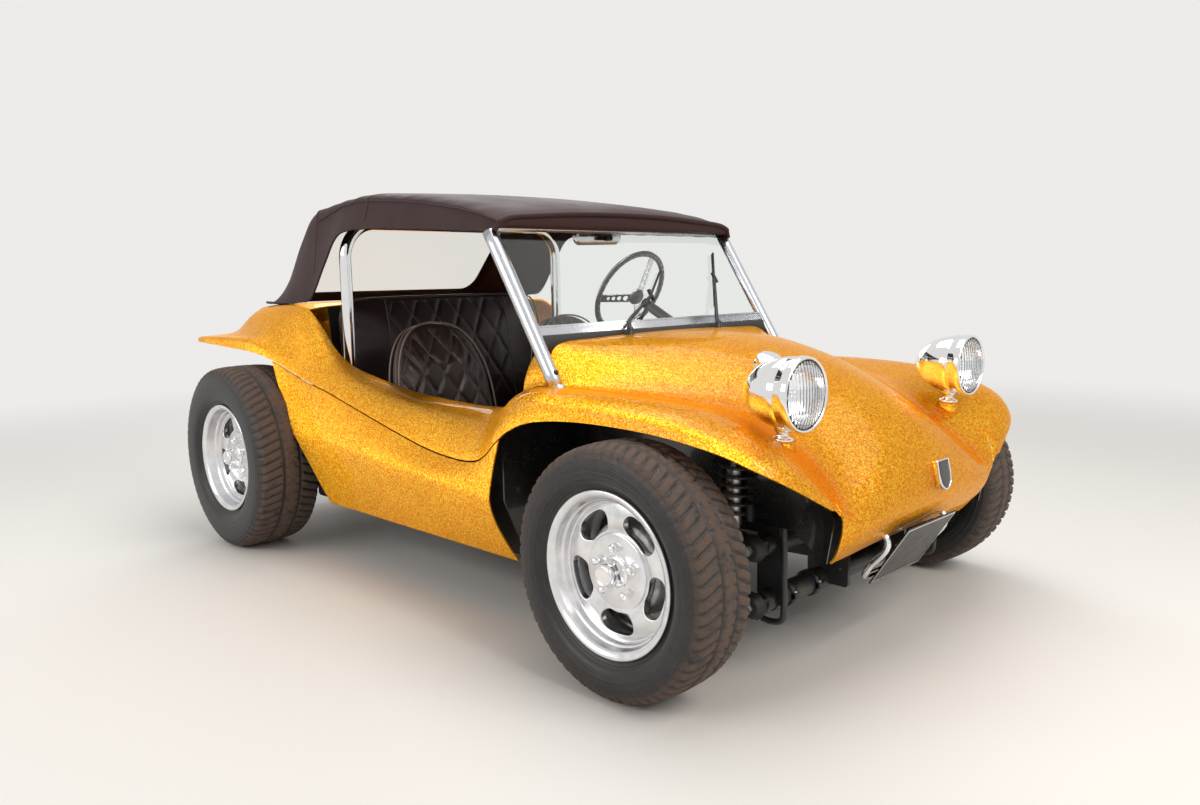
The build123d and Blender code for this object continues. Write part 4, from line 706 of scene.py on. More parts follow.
# %% Deck over the engine
# Rows share the strip's first rows; across, the deck is a flat crown that the strip carries on.
DECK_ROWS = 8
deck_half = []
for share in (0.0, 0.35, 0.7):
    point = strip_net[:DECK_ROWS, 0] * [1, share, 1]
    point[:, 2] += 0.006 * (1 - share ** 2) + 0.004
    deck_half.append(point)
deck_half = np.stack(deck_half + [strip_net[:DECK_ROWS, 0], strip_net[:DECK_ROWS, 1]], 1)
TAIL_NOTCH = np.array([0.12, 0.11, 0.0])
for row, depth in enumerate((1.0, 0.75, 0.3)):
    deck_half[row, :3, 0] += TAIL_NOTCH * depth
deck_half[-1, :3] += [-0.055, 0, 0.006]
deck_net = np.concatenate([mirrored(deck_half)[:, :0:-1], deck_half], 1)
deck = smooth_net(deck_net, 8, 7, (0, 0, 1, 1))
print("deck", deck.shape)

# %% Return of the scuttle into the cockpit
# Behind the windscreen's foot the bonnet rolls back and down, and further back at its two ends.
ROLL = smooth_line(np.array([(0.0, 0.0), (-0.02, -0.004), (-0.045, -0.018), (-0.06, -0.045), (-0.062, -0.09),
                             (-0.05, -0.13)]), 6)
scuttle_row = bonnet[0]
reach = 1.0 + 0.55 * smooth_step(np.abs(scuttle_row[:, 1]), 0.36, 0.54)
cowl = np.repeat(scuttle_row[None], len(ROLL), 0)
cowl[..., 0] += ROLL[:, :1] * reach
cowl[..., 2] += ROLL[:, 1:]
cowl = cowl[::-1]
print("cowl return", cowl.shape)

# %% One shell of the nets
SHELL_WALL = dict(thickness=0.006, offset=-1.0, use_quality_normals=True)
sheets = [bonnet, strip, mirrored(strip)[:, ::-1], deck, cowl]
vertices = np.concatenate([part.reshape(-1, 3) for part in sheets])
starts = np.cumsum([0] + [part.shape[0] * part.shape[1] for part in sheets[:-1]])
faces = np.concatenate([grid_faces(*part.shape[:2], start=at) for part, at in zip(sheets, starts)])
tub = merge(make_object("gold_tub", vertices, faces), 4e-4, False)
face_towards(tub, Vector((0, 0, 1)))
modify(tub, "SOLIDIFY", **SHELL_WALL)
soften(tub, 0.0022, 60, 2)
finish_piece(tub, GOLD, ("front_body", "nose_panel", "rear_body", "body_side_left", "body_side_right"))
print("tub faces", len(tub.data.polygons))

# %% [markdown]
# ## The side panels
# Under the seam each side bulges out to its widest line and then tucks in to the sill. The sheet
# runs between the two wheel arches, so its ends follow the arches' edges and not a straight cut.

# %% Side panels
# How far down each arch edge goes, as (share of the way down, distance from the rear axle).
REAR_EDGE = np.array([(0.0, 0.15), (0.12, 0.19), (0.3, 0.285), (0.48, 0.355), (0.66, 0.4), (0.84, 0.426),
                      (1.0, 0.446)])
FRONT_EDGE = np.array([(0.0, 1.552), (0.15, 1.52), (0.35, 1.499), (0.52, 1.494), (0.7, 1.5),
                       (0.86, 1.513), (1.0, 1.527)])
WIDEST, SILL_Y, SILL_Z = 0.7425, 0.664, 0.208
SEAM_GAP = 0.0035


def arch_edge(edge, v):
    """The distance from the rear axle at each share v down an arch's edge, evened out six times."""
    x = np.interp(v, edge[:, 0], edge[:, 1])
    for _ in range(6):
        x[1:-1] = (x[:-2] + 2 * x[1:-1] + x[2:]) / 4
    return x


def side_panel():
    """A point at share u along and v down stands between the arch edges at v. Its height runs from
    the seam to the sill; its width is the seam's, plus a bulge that is fullest half-way down, less
    the tuck towards the sill."""
    v = np.linspace(0, 1, 49)
    back, front = arch_edge(REAR_EDGE, v), arch_edge(FRONT_EDGE, v)
    x = back + (front - back) * np.linspace(0, 1, 121)[:, None]
    seam = strip[:, -1]
    seam_y = np.interp(x, seam[:, 0] - REAR_X, seam[:, 1])
    seam_z = np.interp(x, seam[:, 0] - REAR_X, seam[:, 2]) - SEAM_GAP
    z = seam_z + (SILL_Z - seam_z) * v
    widest_z = 0.47 - 0.07 * np.clip((x - 0.5) / 1.0, 0, 1)
    above = np.clip((z - widest_z) / np.maximum(seam_z - widest_z, 0.05), 0, 1)
    under = np.clip((widest_z - z) / (widest_z - SILL_Z), 0, 1)
    tuck = np.where(z > widest_z, 0, (WIDEST - SILL_Y) * (0.62 * under ** 1.6 + 0.38 * under))
    return np.stack([x + REAR_X, WIDEST - (WIDEST - seam_y) * above ** 1.7 - tuck, z], -1)


panel = side_panel()
for side, sign, points in (("left", 1, panel), ("right", -1, mirrored(panel))):
    piece = surface("gold_side_" + side, points, flip=side == "left")
    face_towards(piece, Vector((0, sign, 0)))
    modify(piece, "SOLIDIFY", **SHELL_WALL)
    soften(piece, 0.002, 60, 2)
    finish_piece(piece, GOLD, ("side_panel_" + side,))
print("side panels", panel.shape)

# %% [markdown]
# ## Tyres
# A tyre is a closed band: the angle round the axle is one parameter, the way round its section
# the other. The tread is cut as real relief. Two grooves run round it, and slanting grooves cut
# the outer ribs into blocks. A number kept on every vertex tells the finish where dust sits on
# the tread; it is kept low in the grooves, so that they stay black as painted shade.

# %% Tyres
GROOVE_DEPTH = 0.0065
AXLES = {"front": (FRONT_X, FRONT_R, FRONT_Y), "rear": (REAR_X, REAR_R, REAR_Y)}
TYRES = {"front": (0.1, 0.0745, 62), "rear": (0.123, 0.0995, 66)}


def tyre_section(radius, half_width, bead_half):
    """Half an outline from the middle of the tread to the bead, mirrored and smoothed. The tread gets
    44 places and each wall 10."""
    shoulder = half_width - 0.016
    half = np.array([(0.0, radius), (shoulder * 0.45, radius - 0.0008), (shoulder * 0.8, radius - 0.004),
                     (shoulder, radius - 0.0105), (half_width - 0.006, radius - 0.026),
                     (half_width, radius - 0.052), (half_width - 0.002, RIM_R + 0.03),
                     (bead_half + 0.006, RIM_R + 0.012), (bead_half, RIM_R + 0.002),
                     (bead_half - 0.001, 0.1925)])
    line = smooth_line(np.concatenate([half[:0:-1] * [-1, 1], half]), 24)
    way = travelled(line)
    tread = way[(np.abs(line[:, 0]) < shoulder * 1.02) & (line[:, 1] > radius - 0.03)]
    places = np.concatenate([np.linspace(0, tread[0], 11)[:-1], np.linspace(tread[0], tread[-1], 44),
                             np.linspace(tread[-1], way[-1], 11)[1:]])
    return np.interp(places, way, line[:, 0]), np.interp(places, way, line[:, 1]), shoulder


TYRE_STEPS = 576


def tyre_band(radius, half_width, bead_half, pitches):
    """The section runs from bead to bead over the tread. Each point moves inwards along the
    section's normal by the groove's depth times the larger of the ring groove and the slanting
    groove."""
    y, r, shoulder = tyre_section(radius, half_width, bead_half)
    slope = unit(np.stack([np.gradient(y), np.gradient(r)], -1))
    out = np.stack([-slope[:, 1], slope[:, 0]], -1)
    out *= np.where((out * np.stack([y, r - (radius + RIM_R) / 2], -1)).sum(1) < 0, -1, 1)[:, None]
    across = np.abs(y) / shoulder
    angle = np.linspace(0, 2 * np.pi, TYRE_STEPS, endpoint=False)[:, None]
    phase = angle * pitches / (2 * np.pi) + 1.15 * across
    ring = 1 - smooth_step(np.abs(across - 0.3), 0.035, 0.075)
    slant = 1 - smooth_step(np.abs((phase % 1) - 0.5), 0.07, 0.19)
    fine = 1 - smooth_step(np.abs(((phase + 0.5) % 1) - 0.5), 0.04, 0.14)
    outer = smooth_step(across, 0.34, 0.4) * (r > radius - 0.03)
    middle = smooth_step(across, 0.08, 0.14) * (1 - smooth_step(across, 0.22, 0.27))
    cut = np.maximum(np.maximum(ring * np.ones_like(angle), slant * outer), 0.6 * fine * middle)
    cut *= 1 - 0.75 * smooth_step(across, 0.98, 1.12)
    reach = r - GROOVE_DEPTH * cut * out[:, 1]
    points = np.stack([reach * np.cos(angle), y - GROOVE_DEPTH * cut * out[:, 0], reach * np.sin(angle)], -1)
    # real dust on the tread, kept low in the grooves so that they stay black as painted shade
    dust_and_groove_shade = smooth_step(r, radius - 0.03, radius - 0.016) * (1 - 0.85 * cut)
    return points, dust_and_groove_shade, np.broadcast_to(r, cut.shape)


def ripple(tree, pitch):
    """A sine that repeats at every pitch of distance from the axle."""
    turns = calculate(tree, "MULTIPLY", mark(tree, "reach"), 2 * math.pi / pitch)
    return calculate(tree, "SINE", turns)


def tyre_finish():
    """Near-black rubber. Where the dust number is high and a coarse noise agrees it is brown; the number is
    low in the grooves, which keeps them black as painted shade. Rings of fine relief run round the walls by
    the distance from the axle."""
    material, tree, shader = new_finish("tyre_rubber")
    clump = noise(tree, 26.0, 9.0, 0.72)
    # the dust number is low in the grooves: there the rubber stays black as painted shade
    kept = calculate(tree, "MULTIPLY", mark(tree, "dust"), span(tree, clump, 0.36, 0.5))
    amount = calculate(tree, "MAXIMUM", kept, span(tree, clump, 0.45, 0.8, 0.0, 0.25))
    earth = drift(tree, noise(tree, 420.0, 3.0), (0.07, 0.047, 0.036), (0.135, 0.094, 0.072))
    ridge = span(tree, ripple(tree, 0.0155), 0.55, 0.95)
    bump(tree, shader, calculate(tree, "MULTIPLY_ADD", clump, 1.2, ridge), 0.0009, 0.8)
    return feed_shader(material, {
        "Base Color": blend_colour(tree, amount, (0.012, 0.011, 0.012, 1), earth),
        "Roughness": span(tree, amount, 0.0, 1.0, 0.38, 0.92)})


TYRE = tyre_finish()
for end, (axle, radius, centre) in AXLES.items():
    points, dust_and_groove_shade, reach = tyre_band(radius, *TYRES[end])
    for side, sign in (("left", 1.0), ("right", -1.0)):
        placed = points * [1, sign, 1] + [axle, sign * centre, radius]
        piece = surface(f"road_tyre_{end}_{side}", placed, wrap_u=True, wrap_v=True)
        attribute(piece, "dust", dust_and_groove_shade)
        attribute(piece, "reach", reach)
        finish_piece(merge(piece), TYRE, (f"tyre_{end}_{side}",), f"wheel_{end}_{side}")
print("tyre grid", points.shape)

# %% [markdown]
# ## Road wheels
# Each rim is turned about its axle. The disc has five kidney openings: one fifth of it is a patch
# whose inner ring is the opening's edge and whose outer ring is the border with its neighbours, so
# five turned copies close the disc. The hub plate, the nuts and the blank cap stand in front.

# %% One fifth of the disc
DISC_LOW, DISC_HIGH = 0.09, 0.17
SLOT_MIDDLE, SLOT_HALF, SLOT_END = 0.129, 0.0275, 0.0265
SLOT_ROUND = 0.003


def fifth_border():
    """The corners of a fifth of a ring between two radii, as (angle, radius) all the way round."""
    reach = np.pi / 5
    side = np.linspace(DISC_LOW, DISC_HIGH, 14)[:-1]
    top = np.linspace(reach, -reach, 30)[:-1]
    back = side[::-1] + (DISC_HIGH - DISC_LOW) / 13
    edges = [(reach, side), (top, DISC_HIGH), (-reach, back), (-top, DISC_LOW)]
    return np.concatenate([np.stack(np.broadcast_arrays(*edge), -1) for edge in edges])


def disc_fifth(face, turn):
    """The opening is a bar with round ends, bent along the ring; each border point's partner is its
    nearest point on the bar. Rings between the two make the face, then a quarter round of 3 mm and
    a straight wall make the opening's edge."""
    border = fifth_border()
    a, b = border[:, 0] * SLOT_MIDDLE, border[:, 1] - SLOT_MIDDLE
    core = np.clip(a, -SLOT_HALF, SLOT_HALF)
    way = unit(np.stack([a - core, b], -1))

    def bar(grow):
        x = (core + way[:, 0] * (SLOT_END + grow)) / SLOT_MIDDLE
        return np.stack([x, way[:, 1] * (SLOT_END + grow) + SLOT_MIDDLE], -1)

    inner = bar(SLOT_ROUND)
    rings = [(inner + (border - inner) * share, 0.0) for share in np.linspace(1, 0, 7)]
    rings += [(bar(SLOT_ROUND * (1 - math.sin(tilt))), SLOT_ROUND * (1 - math.cos(tilt)))
              for tilt in np.linspace(0, np.pi / 2, 5)[1:]]
    rings += [(bar(0.0), drop) for drop in (0.01, 0.018)]
    angle, radius = np.moveaxis(np.stack([ring for ring, _ in rings]), -1, 0)
    depth = np.array([drop for _, drop in rings])[:, None]
    crown = 0.0075 * np.sin(np.pi * np.clip((radius - DISC_LOW) / (DISC_HIGH - DISC_LOW), 0, 1))
    crown *= smooth_step(radius, DISC_LOW, DISC_LOW + 0.03)
    angle = angle + turn
    return np.stack([radius * np.cos(angle), face + crown - depth, radius * np.sin(angle)], -1)


print("points round an opening", len(fifth_border()))

# %% Profiles of the wheel
RIMS = {"front": (0.0825, 0.048), "rear": (0.1075, 0.06)}
NUT = [(4, 0), (4, 12.8), (16.5, 12.8), (17.5, 11.8), (17.5, 0)]
NUT_CAP = [(14, 0), (14, 10.8), (21.5, 10), (25.5, 8.2), (27.8, 4.8), (28.4, 0)]
NUT_CIRCLE = 0.0605


def about(base, *points):
    """Points (along the axle from a base, radius) in millimetres, as metres."""
    return [(base + along / 1000, radius / 1000) for along, radius in points]


def rim_profile(lip, back, face):
    """Round the rim's section: out over the bead seat and the lip, back along the well."""
    return np.array(
        about(face, (-4, 163), (1, 169), (2, 172.5), (14, 174.5), (18, 177.5), (20, 181.5))
        + about(lip, (-12, 185), (-7, 188), (-4, 192.5), (-1.5, 196), (0, 199), (0.5, 203), (-0.8, 206.4),
                (-3.4, 208), (-6.8, 207.2), (-8, 204), (-8.2, 191))
        + about(face, (-10, 188), (-30, 168))
        + about(back, (50, 168), (36, 190.5), (8, 191), (8, 207), (1, 207), (1, 183), (24, 180), (34, 160))
        + about(face, (-18, 160), (-18, 163)))


def plate_profile(face):
    """The flat plate that fills the disc's middle."""
    return np.array(about(face, (-16, 0), (-16, 94), (0.5, 95.2), (3, 94.8), (4.4, 93.4), (4.8, 91.5),
                          (5, 56), (5.6, 50), (5.6, 0)))


def cap_profile(face):
    """A flange, a waisted barrel and a shallow dish at its end."""
    return about(face, (4, 0), (4, 40), (8.5, 40), (10.5, 38.5), (11, 35.2), (13, 33), (35, 30.5), (46, 28.5),
                 (51.5, 26.2), (54, 23.6), (54.3, 21.4), (52, 20), (51.5, 18), (52.5, 9), (52.8, 0))


def drum_profile(face):
    """The brake drum behind the disc, with a rib round its inner edge."""
    return about(face, (-22, 30), (-22, 112), (-28, 118), (-75, 118), (-80, 124), (-86, 124), (-86, 30))


def turned_alloy():
    """Polished alloy with fine marks of the lathe: a ripple by the distance from the axle."""
    material, tree, shader = new_finish("turned_alloy")
    soft = noise(tree, 24.0, 5.0)
    bump(tree, shader, ripple(tree, 0.0011), 0.000012)
    return feed_shader(material, {
        "Base Color": drift(tree, soft, (0.66, 0.66, 0.68), (0.8, 0.8, 0.82), 0.3, 0.65),
        "Roughness": span(tree, soft, 0.3, 0.7, 0.14, 0.27), "Metallic": 1.0})


TURNED = turned_alloy()
print("cap points", len(cap_profile(0.0)))

# %% Four wheels
def alloy_wheel(name, rim, plate, face, placed):
    """The rim, the plate and five turned copies of the disc's fifth, each point with its distance
    from the axle. placed takes points about the axle to this wheel."""
    parts = []
    for profile, closed in ((rim, True), (plate, False)):
        part = surface("turned", placed(turned(profile, 160)), wrap_u=True, wrap_v=closed)
        attribute(part, "reach", np.broadcast_to(profile[:, 1], (160, len(profile))))
        parts.append(merge(part))
    fifths = []
    for k in range(5):
        sheet = disc_fifth(face, math.radians(270 + 72 * k))
        part = surface("fifth", placed(sheet), wrap_v=True)
        attribute(part, "reach", np.hypot(sheet[..., 0], sheet[..., 2]))
        fifths.append(part)
    disc = merge(joined("disc", fifths), 2e-5, False)
    face_towards(disc, Vector((0, np.sign(placed(np.array([0, face, 0]))[1]), 0)))
    return soften(joined(name, parts + [disc]), 0.0006, 50)


for end, (axle, height, centre) in AXLES.items():
    half_rim, setback = RIMS[end]
    lip, back = centre + half_rim, centre - half_rim
    face = lip - setback
    for side, sign in (("left", 1.0), ("right", -1.0)):
        def placed(points):
            return points * [1, sign, 1] + [axle, 0, height]

        body = f"wheel_{end}_{side}"
        wheel = alloy_wheel(f"road_wheel_{end}_{side}", rim_profile(lip, back, face), plate_profile(face),
                            face, placed)
        finish_piece(wheel, TURNED, (body,), body)
        shiny = [solid("cap", placed(turned(cap_profile(face), 64)), True, False)]
        for k in range(5):
            turn = math.radians(90 + 72 * k)
            place = NUT_CIRCLE * np.array([math.cos(turn), 0, math.sin(turn)])
            for steps, profile in ((6, NUT), (20, NUT_CAP)):
                sheet = placed(turned(about(face, *profile), steps) + place)
                shiny.append(solid("nut", sheet, True, False, smooth=steps > 6))
        finish_piece(joined(f"hub_cap_and_nuts_{end}_{side}", shiny), CHROME, body=body)
        drum = solid(f"brake_drum_{end}_{side}", placed(turned(drum_profile(face), 72)), True)
        finish_piece(drum, CAST, body=body)
print("wheels", 4)

# %% [markdown]
# ## The soft roof
# One sheet of coated cloth is stretched over the bows: flat across the top, drawn down tight at
# the back and cut away at the sides. Half of it is a net of points; the other half is its mirror.

# %% Roof sheet
# Rows from the tail to the header, in millimetres: distance from the rear axle and height of the
# crown at the middle; distance, y and z of the corner over the rail, and of the lower edge.
ROOF = np.array([
    (-205, 943, -185, 470, 941, -165, 572, 940),
    (-105, 1062, -80, 488, 1048, -58, 580, 941),
    (20, 1188, 40, 502, 1172, 58, 583, 943),
    (130, 1282, 145, 512, 1262, 160, 584, 948),
    (200, 1307, 215, 518, 1292, 235, 583, 966),
    (330, 1324, 335, 524, 1308, 335, 578, 1086),
    (450, 1336, 450, 529, 1320, 432, 571, 1190),
    (620, 1342, 610, 531, 1325, 600, 568, 1207),
    (900, 1325, 900, 533, 1300, 900, 567, 1193),
    (1140, 1290, 1140, 534, 1262, 1140, 566, 1178),
    (1290, 1255, 1290, 536, 1226, 1287, 567, 1168),
    (1352, 1230, 1345, 538, 1205, 1338, 568, 1166),
]) / 1000
CLOTH = 0.0022
BOWS = np.array([0.2, 0.6, 1.335])


def roof_net():
    """Across, the top runs from the crown to the corner as z = crown - (crown - corner) (y/Y)^p, then
    turns over the rail on a small round and falls to the lower edge."""
    crown, corner, edge = ROOF[:, [0, 2, 1]] * [1, 0, 1], ROOF[:, 2:5], ROOF[:, 5:]
    share = np.array([0.0, 0.25, 0.5, 0.75, 0.93])[:, None, None]
    top = crown + (corner - crown) * np.concatenate([share, share, share ** 2.2], -1)
    over = corner + [0, 0.01, -0.01]
    start = corner + [0, 0.012, -0.012]
    fall = start + (edge - start) * np.array([0.22, 0.5, 0.8, 1.0])[:, None, None]
    return np.swapaxes(np.concatenate([top, over[None], fall]), 0, 1) + [REAR_X, 0, 0]


def drape(points):
    """Lets the cloth sag a little between the bows and pull into folds over the rail: the top drops
    by up to 7 mm half-way between two bows, and small waves run across the sheet's tight corners."""
    r, wide = points[..., 0] - REAR_X, np.abs(points[..., 1])
    gap = np.interp(r, BOWS, [0, 1, 2]) % 1.0
    inside = (r > BOWS[0]) & (r < BOWS[-1])
    sag = 0.007 * np.sin(np.pi * gap) ** 2 * inside * np.clip(1 - (wide / 0.52) ** 4, 0, 1)
    corner = np.exp(-((wide - 0.53) / 0.06) ** 2)
    fold = 0.0016 * np.sin(r * 62 + 5 * wide) * corner * (0.4 + 0.6 * np.sin(r * 9.0) ** 2)
    tail = np.exp(-((r - 0.06) / 0.13) ** 2)
    pull = 0.0022 * np.sin(points[..., 1] * 46) * tail * np.clip((wide - 0.4) / 0.1, 0, 1)
    return points - np.stack([pull, 0 * r, sag + fold], -1)


half_roof = roof_net()
roof_points = drape(smooth_net(np.concatenate([mirrored(half_roof)[:, :0:-1], half_roof], 1), 12, 8))
ROOF_MIDDLE = roof_points.shape[1] // 2
roof = surface("roof_sheet", roof_points)
print("roof", roof_points.shape)

# %% Rear window
# Heights of its edges, half its width and the radius of its corners.
WINDOW_LOW, WINDOW_HIGH, WINDOW_HALF, WINDOW_ROUND = 0.972, 1.262, 0.47, 0.06
WINDOW_MIDDLE = (WINDOW_LOW + WINDOW_HIGH) / 2
WINDOW_RISE = (WINDOW_HIGH - WINDOW_LOW) / 2
TAIL_REACH = 0.145
HEM = [(-6, 0.2), (-6, 3), (-3, 4), (18, 4.2), (24, 3.6), (26, 0.8)]


def cut_window(piece):
    """Takes out the back's faces whose distance outside a rounded window is negative: the length of
    (|y|-Y+c, |z-m|-Z+c) where both are positive, less the corner radius c."""
    bm = bmesh.new()
    bm.from_mesh(piece.data)
    x, y, z = np.array([face.calc_center_median() for face in bm.faces]).T
    a = np.abs(y) - WINDOW_HALF + WINDOW_ROUND
    b = np.abs(z - WINDOW_MIDDLE) - WINDOW_RISE + WINDOW_ROUND
    far = np.hypot(np.maximum(a, 0), np.maximum(b, 0)) + np.minimum(np.maximum(a, b), 0) - WINDOW_ROUND
    out = (far < 0) & (x - REAR_X < TAIL_REACH)
    bm.faces.ensure_lookup_table()
    bmesh.ops.delete(bm, geom=[bm.faces[i] for i in np.nonzero(out)[0]], context="FACES")
    bm.to_mesh(piece.data)
    bm.free()


def on_tail(y, z):
    """x of the roof's back at a height z and a width y, read along the sheet's rows."""
    rows = roof_points[:60]
    x0 = np.interp(z, rows[:, ROOF_MIDDLE, 2], rows[:, ROOF_MIDDLE, 0])
    side = rows[:, ROOF_MIDDLE + 30]
    x1 = np.interp(z, side[:, 2], side[:, 0])
    return x0 + (x1 - x0) * (np.abs(y) / np.abs(side[0, 1])) ** 2.0


def window_border():
    """A flat hem round the pane: rings at a distance outside its edge, each a little proud."""
    rings = []
    for grow, lift in HEM:
        loop = rounded_rectangle(WINDOW_HALF, WINDOW_RISE, WINDOW_ROUND, grow / 1000, 13) + [0, WINDOW_MIDDLE]
        y, z = even_loop(loop, 160).T
        rings.append(np.stack([on_tail(y, z) - lift / 1000, y, z], -1))
    return np.stack(rings)


def window_pane():
    """A sheet a little larger than the opening, with a low ripple that dies out at its edges."""
    a, b = np.meshgrid(np.linspace(-1, 1, 61), np.linspace(-1, 1, 31), indexing="ij")
    y, z = a * (WINDOW_HALF + 0.008), WINDOW_MIDDLE + b * (WINDOW_RISE + 0.008)
    ripple = 0.0012 * np.sin(9 * a + 3 * b) * np.sin(4 * b + 2 * a) * (1 - a ** 2) * (1 - b ** 2)
    return np.stack([on_tail(y, z) + 0.001 + ripple, y, z], -1)


cut_window(roof)
pane = surface("rear_window_pane", window_pane())
border = surface("rear_window_border", window_border(), wrap_v=True)
modify(roof, "SOLIDIFY", thickness=CLOTH, offset=-1.0)
modify(pane, "SOLIDIFY", thickness=0.0008, offset=0.0)
modify(border, "SOLIDIFY", thickness=0.0008, offset=0.0)
finish_piece(roof, ROOF_VINYL, ("roof_canopy",))
finish_piece(pane, CLEAR_VINYL)
finish_piece(border, ROOF_VINYL)
print("roof faces", len(roof.data.polygons))

# %% Seams, hems and the header roll
SEAM_ROWS = (0.205, 0.615)


def seam_band(distance, width, height):
    """A flat band of cloth sewn on along the row nearest a distance from the rear axle: a low
    section, half round over the width, that stands away from the roof's middle."""
    row = int(np.argmin(np.abs(roof_points[:, ROOF_MIDDLE, 0] - REAR_X - distance)))
    path = roof_points[row][10:-10]
    way = unit(np.gradient(path, axis=0))
    up = path - np.array([path[:, 0].mean(), 0.0, 1.0])
    up = unit(up - (up * way).sum(1)[:, None] * way)
    side = np.cross(way, up)
    turn = np.linspace(0, 2 * np.pi, 13, endpoint=False)[None, :, None]
    return path[:, None] + side[:, None] * (np.cos(turn) * width / 2) + up[:, None] * (np.sin(turn) * height)


trims = [solid("seam", seam_band(distance, 0.016, 0.0022)) for distance in SEAM_ROWS]
for sign, edge in ((1, -1), (-1, 0)):
    trims.append(solid("hem", tube(roof_points[:, edge] + [0, -0.001 * sign, 0], 0.0042, 10)))
    rail = roof_points[50:, ROOF_MIDDLE + sign * 45]
    trims.append(solid("piping", tube(rail + [0, 0, 0.0012], 0.0032, 8)))
trims.append(solid("tail_hem", tube(roof_points[0] + [0.001, 0, 0.001], 0.0048, 10)))
trims.append(solid("header_roll", tube(roof_points[-1] + [0.002, 0, -0.002], 0.0085, 14)))
finish_piece(joined("roof_seams_and_hems", trims), ROOF_VINYL)
print("roof trims", len(trims))

# %% Header bar
# A squared round under the roof's front edge: its half height follows the sheet at every width.
shelf = roof_points[-1][np.abs(roof_points[-1][:, 1]) < 0.56]
low_line = np.minimum(1.176, shelf[:, 2] - 0.014)[:, None]
turn = np.linspace(0, 2 * np.pi, 29)[:-1]
round_x, round_z = (np.sign(f) * np.abs(f) ** 0.6 for f in (np.cos(turn), np.sin(turn)))
header = np.stack([shelf[:, :1] - 0.022 + 0.024 * round_x, np.broadcast_to(shelf[:, 1:2], (len(shelf), 28)),
                   (shelf[:, 2:] + low_line) / 2 - 0.001 + (shelf[:, 2:] - low_line) / 2 * round_z], -1)
finish_piece(solid("header_bar", capped(header)), ROOF_VINYL)
print("header width", round(float(np.ptp(shelf[:, 1])), 3))

# %% [markdown]
# ## Windscreen, mirror and wipers
# Two raked tubes carry the screen: they run from the wing up to the header. Rails with rounded
# edges close the pane at the top and the bottom, and a black seal lies between rail and scuttle.

# %% Turned pieces and bars
def aimed(points, place, direction):
    """Takes points made about the Z axis and turns Z into a direction, at a place."""
    z = unit(direction)
    x = unit(np.cross(z, [0.0, 0.0, 1.0] if abs(z[2]) < 0.95 else [0.0, 1.0, 0.0]))
    y = np.cross(z, x)
    p = np.asarray(points, float)
    return p[..., :1] * x + p[..., 1:2] * y + p[..., 2:] * z + np.asarray(place, float)


def lathe(name, profile, place, direction=(0, 0, 1), steps=40, smooth=True):
    """A profile of (height, radius) in millimetres turned about a direction through a place."""
    points = turned(np.asarray(profile, float) / 1000, steps, "Z")
    return solid(name, aimed(points, place, direction), True, False, smooth)


def rounded_bar(name, start, end, wide_way, wide, thick, corner=0.003, rings=2):
    """A straight bar: a rounded rectangle carried from start to end, closed at both ends."""
    start, end = np.asarray(start, float), np.asarray(end, float)
    along = unit(end - start)
    a = unit(np.asarray(wide_way, float) - np.dot(wide_way, along) * along)
    loop = rounded_rectangle(wide / 2, thick / 2, corner, steps=5)
    ring = loop[:, :1] * a + loop[:, 1:] * np.cross(along, a)
    body = np.linspace(0, 1, rings)[:, None, None] * (end - start) + start + ring
    return solid(name, capped(np.concatenate([[ring * 0.9 + start], body, [ring * 0.9 + end]])))


print("lathe and bar ready")

# %% Windscreen frame
FOOT = np.array([0.57, 0.0, 0.852])
HEAD = np.array([0.356, 0.0, 1.191])
RAKE = unit(HEAD - FOOT)
FACING = np.array([RAKE[2], 0.0, -RAKE[0]])
ACROSS = np.array([0.0, 1.0, 0.0])
SCREEN_HALF = 0.565
RAIL_HALF = 0.548
low_rail, top_rail = FOOT + RAKE * 0.014, HEAD - RAKE * 0.012
posts, bolts = [], []
for sign in (1, -1):
    side = ACROSS * sign * SCREEN_HALF
    foot = FOOT - RAKE * 0.172 + side
    path = foot + (HEAD - RAKE * 0.034 + side - foot) * np.linspace(0, 1, 12)[:, None]
    posts.append(capped_tube("post", path, 0.0215, 32))
    posts.append(lathe("foot", [(-12, 0), (-12, 27), (2, 27), (6, 22.5), (6, 0)], foot, RAKE))
    edge = ACROSS * sign * 0.541
    posts.append(rounded_bar("stile", low_rail + edge, top_rail + edge, ACROSS, 0.01, 0.013, 0.002))
    bolts.append(lathe("bolt", [(0, 0), (0, 8.5), (3, 8.5), (3.5, 6.5), (8, 6.5), (8.8, 5), (8.8, 0)],
                       FOOT - RAKE * 0.128 + side + FACING * 0.02, FACING, 6, smooth=False))
for rail in (low_rail, top_rail):
    posts.append(rounded_bar("rail", rail - ACROSS * RAIL_HALF, rail + ACROSS * RAIL_HALF, RAKE, 0.028,
                             0.018))
lip = low_rail + RAKE * 0.016 + FACING * 0.006
posts.append(rounded_bar("lip", lip - ACROSS * 0.545, lip + ACROSS * 0.545, RAKE, 0.006, 0.007, 0.001))
finish_piece(joined("windscreen_posts_and_rails", posts), POST_ALLOY, ("windscreen_frame",))
pane = rounded_bar("windscreen_pane", low_rail + RAKE * 0.01, top_rail - RAKE * 0.01, ACROSS, 1.078, 0.0045,
                   0.001)
pane.data.polygons.foreach_set("use_smooth", np.zeros(len(pane.data.polygons), bool))
finish_piece(pane, GLASS, ("windscreen_glass",))
finish_piece(joined("windscreen_bolts", bolts), BLACK_PLASTIC)
print("windscreen height", round(float(np.linalg.norm(HEAD - FOOT)), 3))

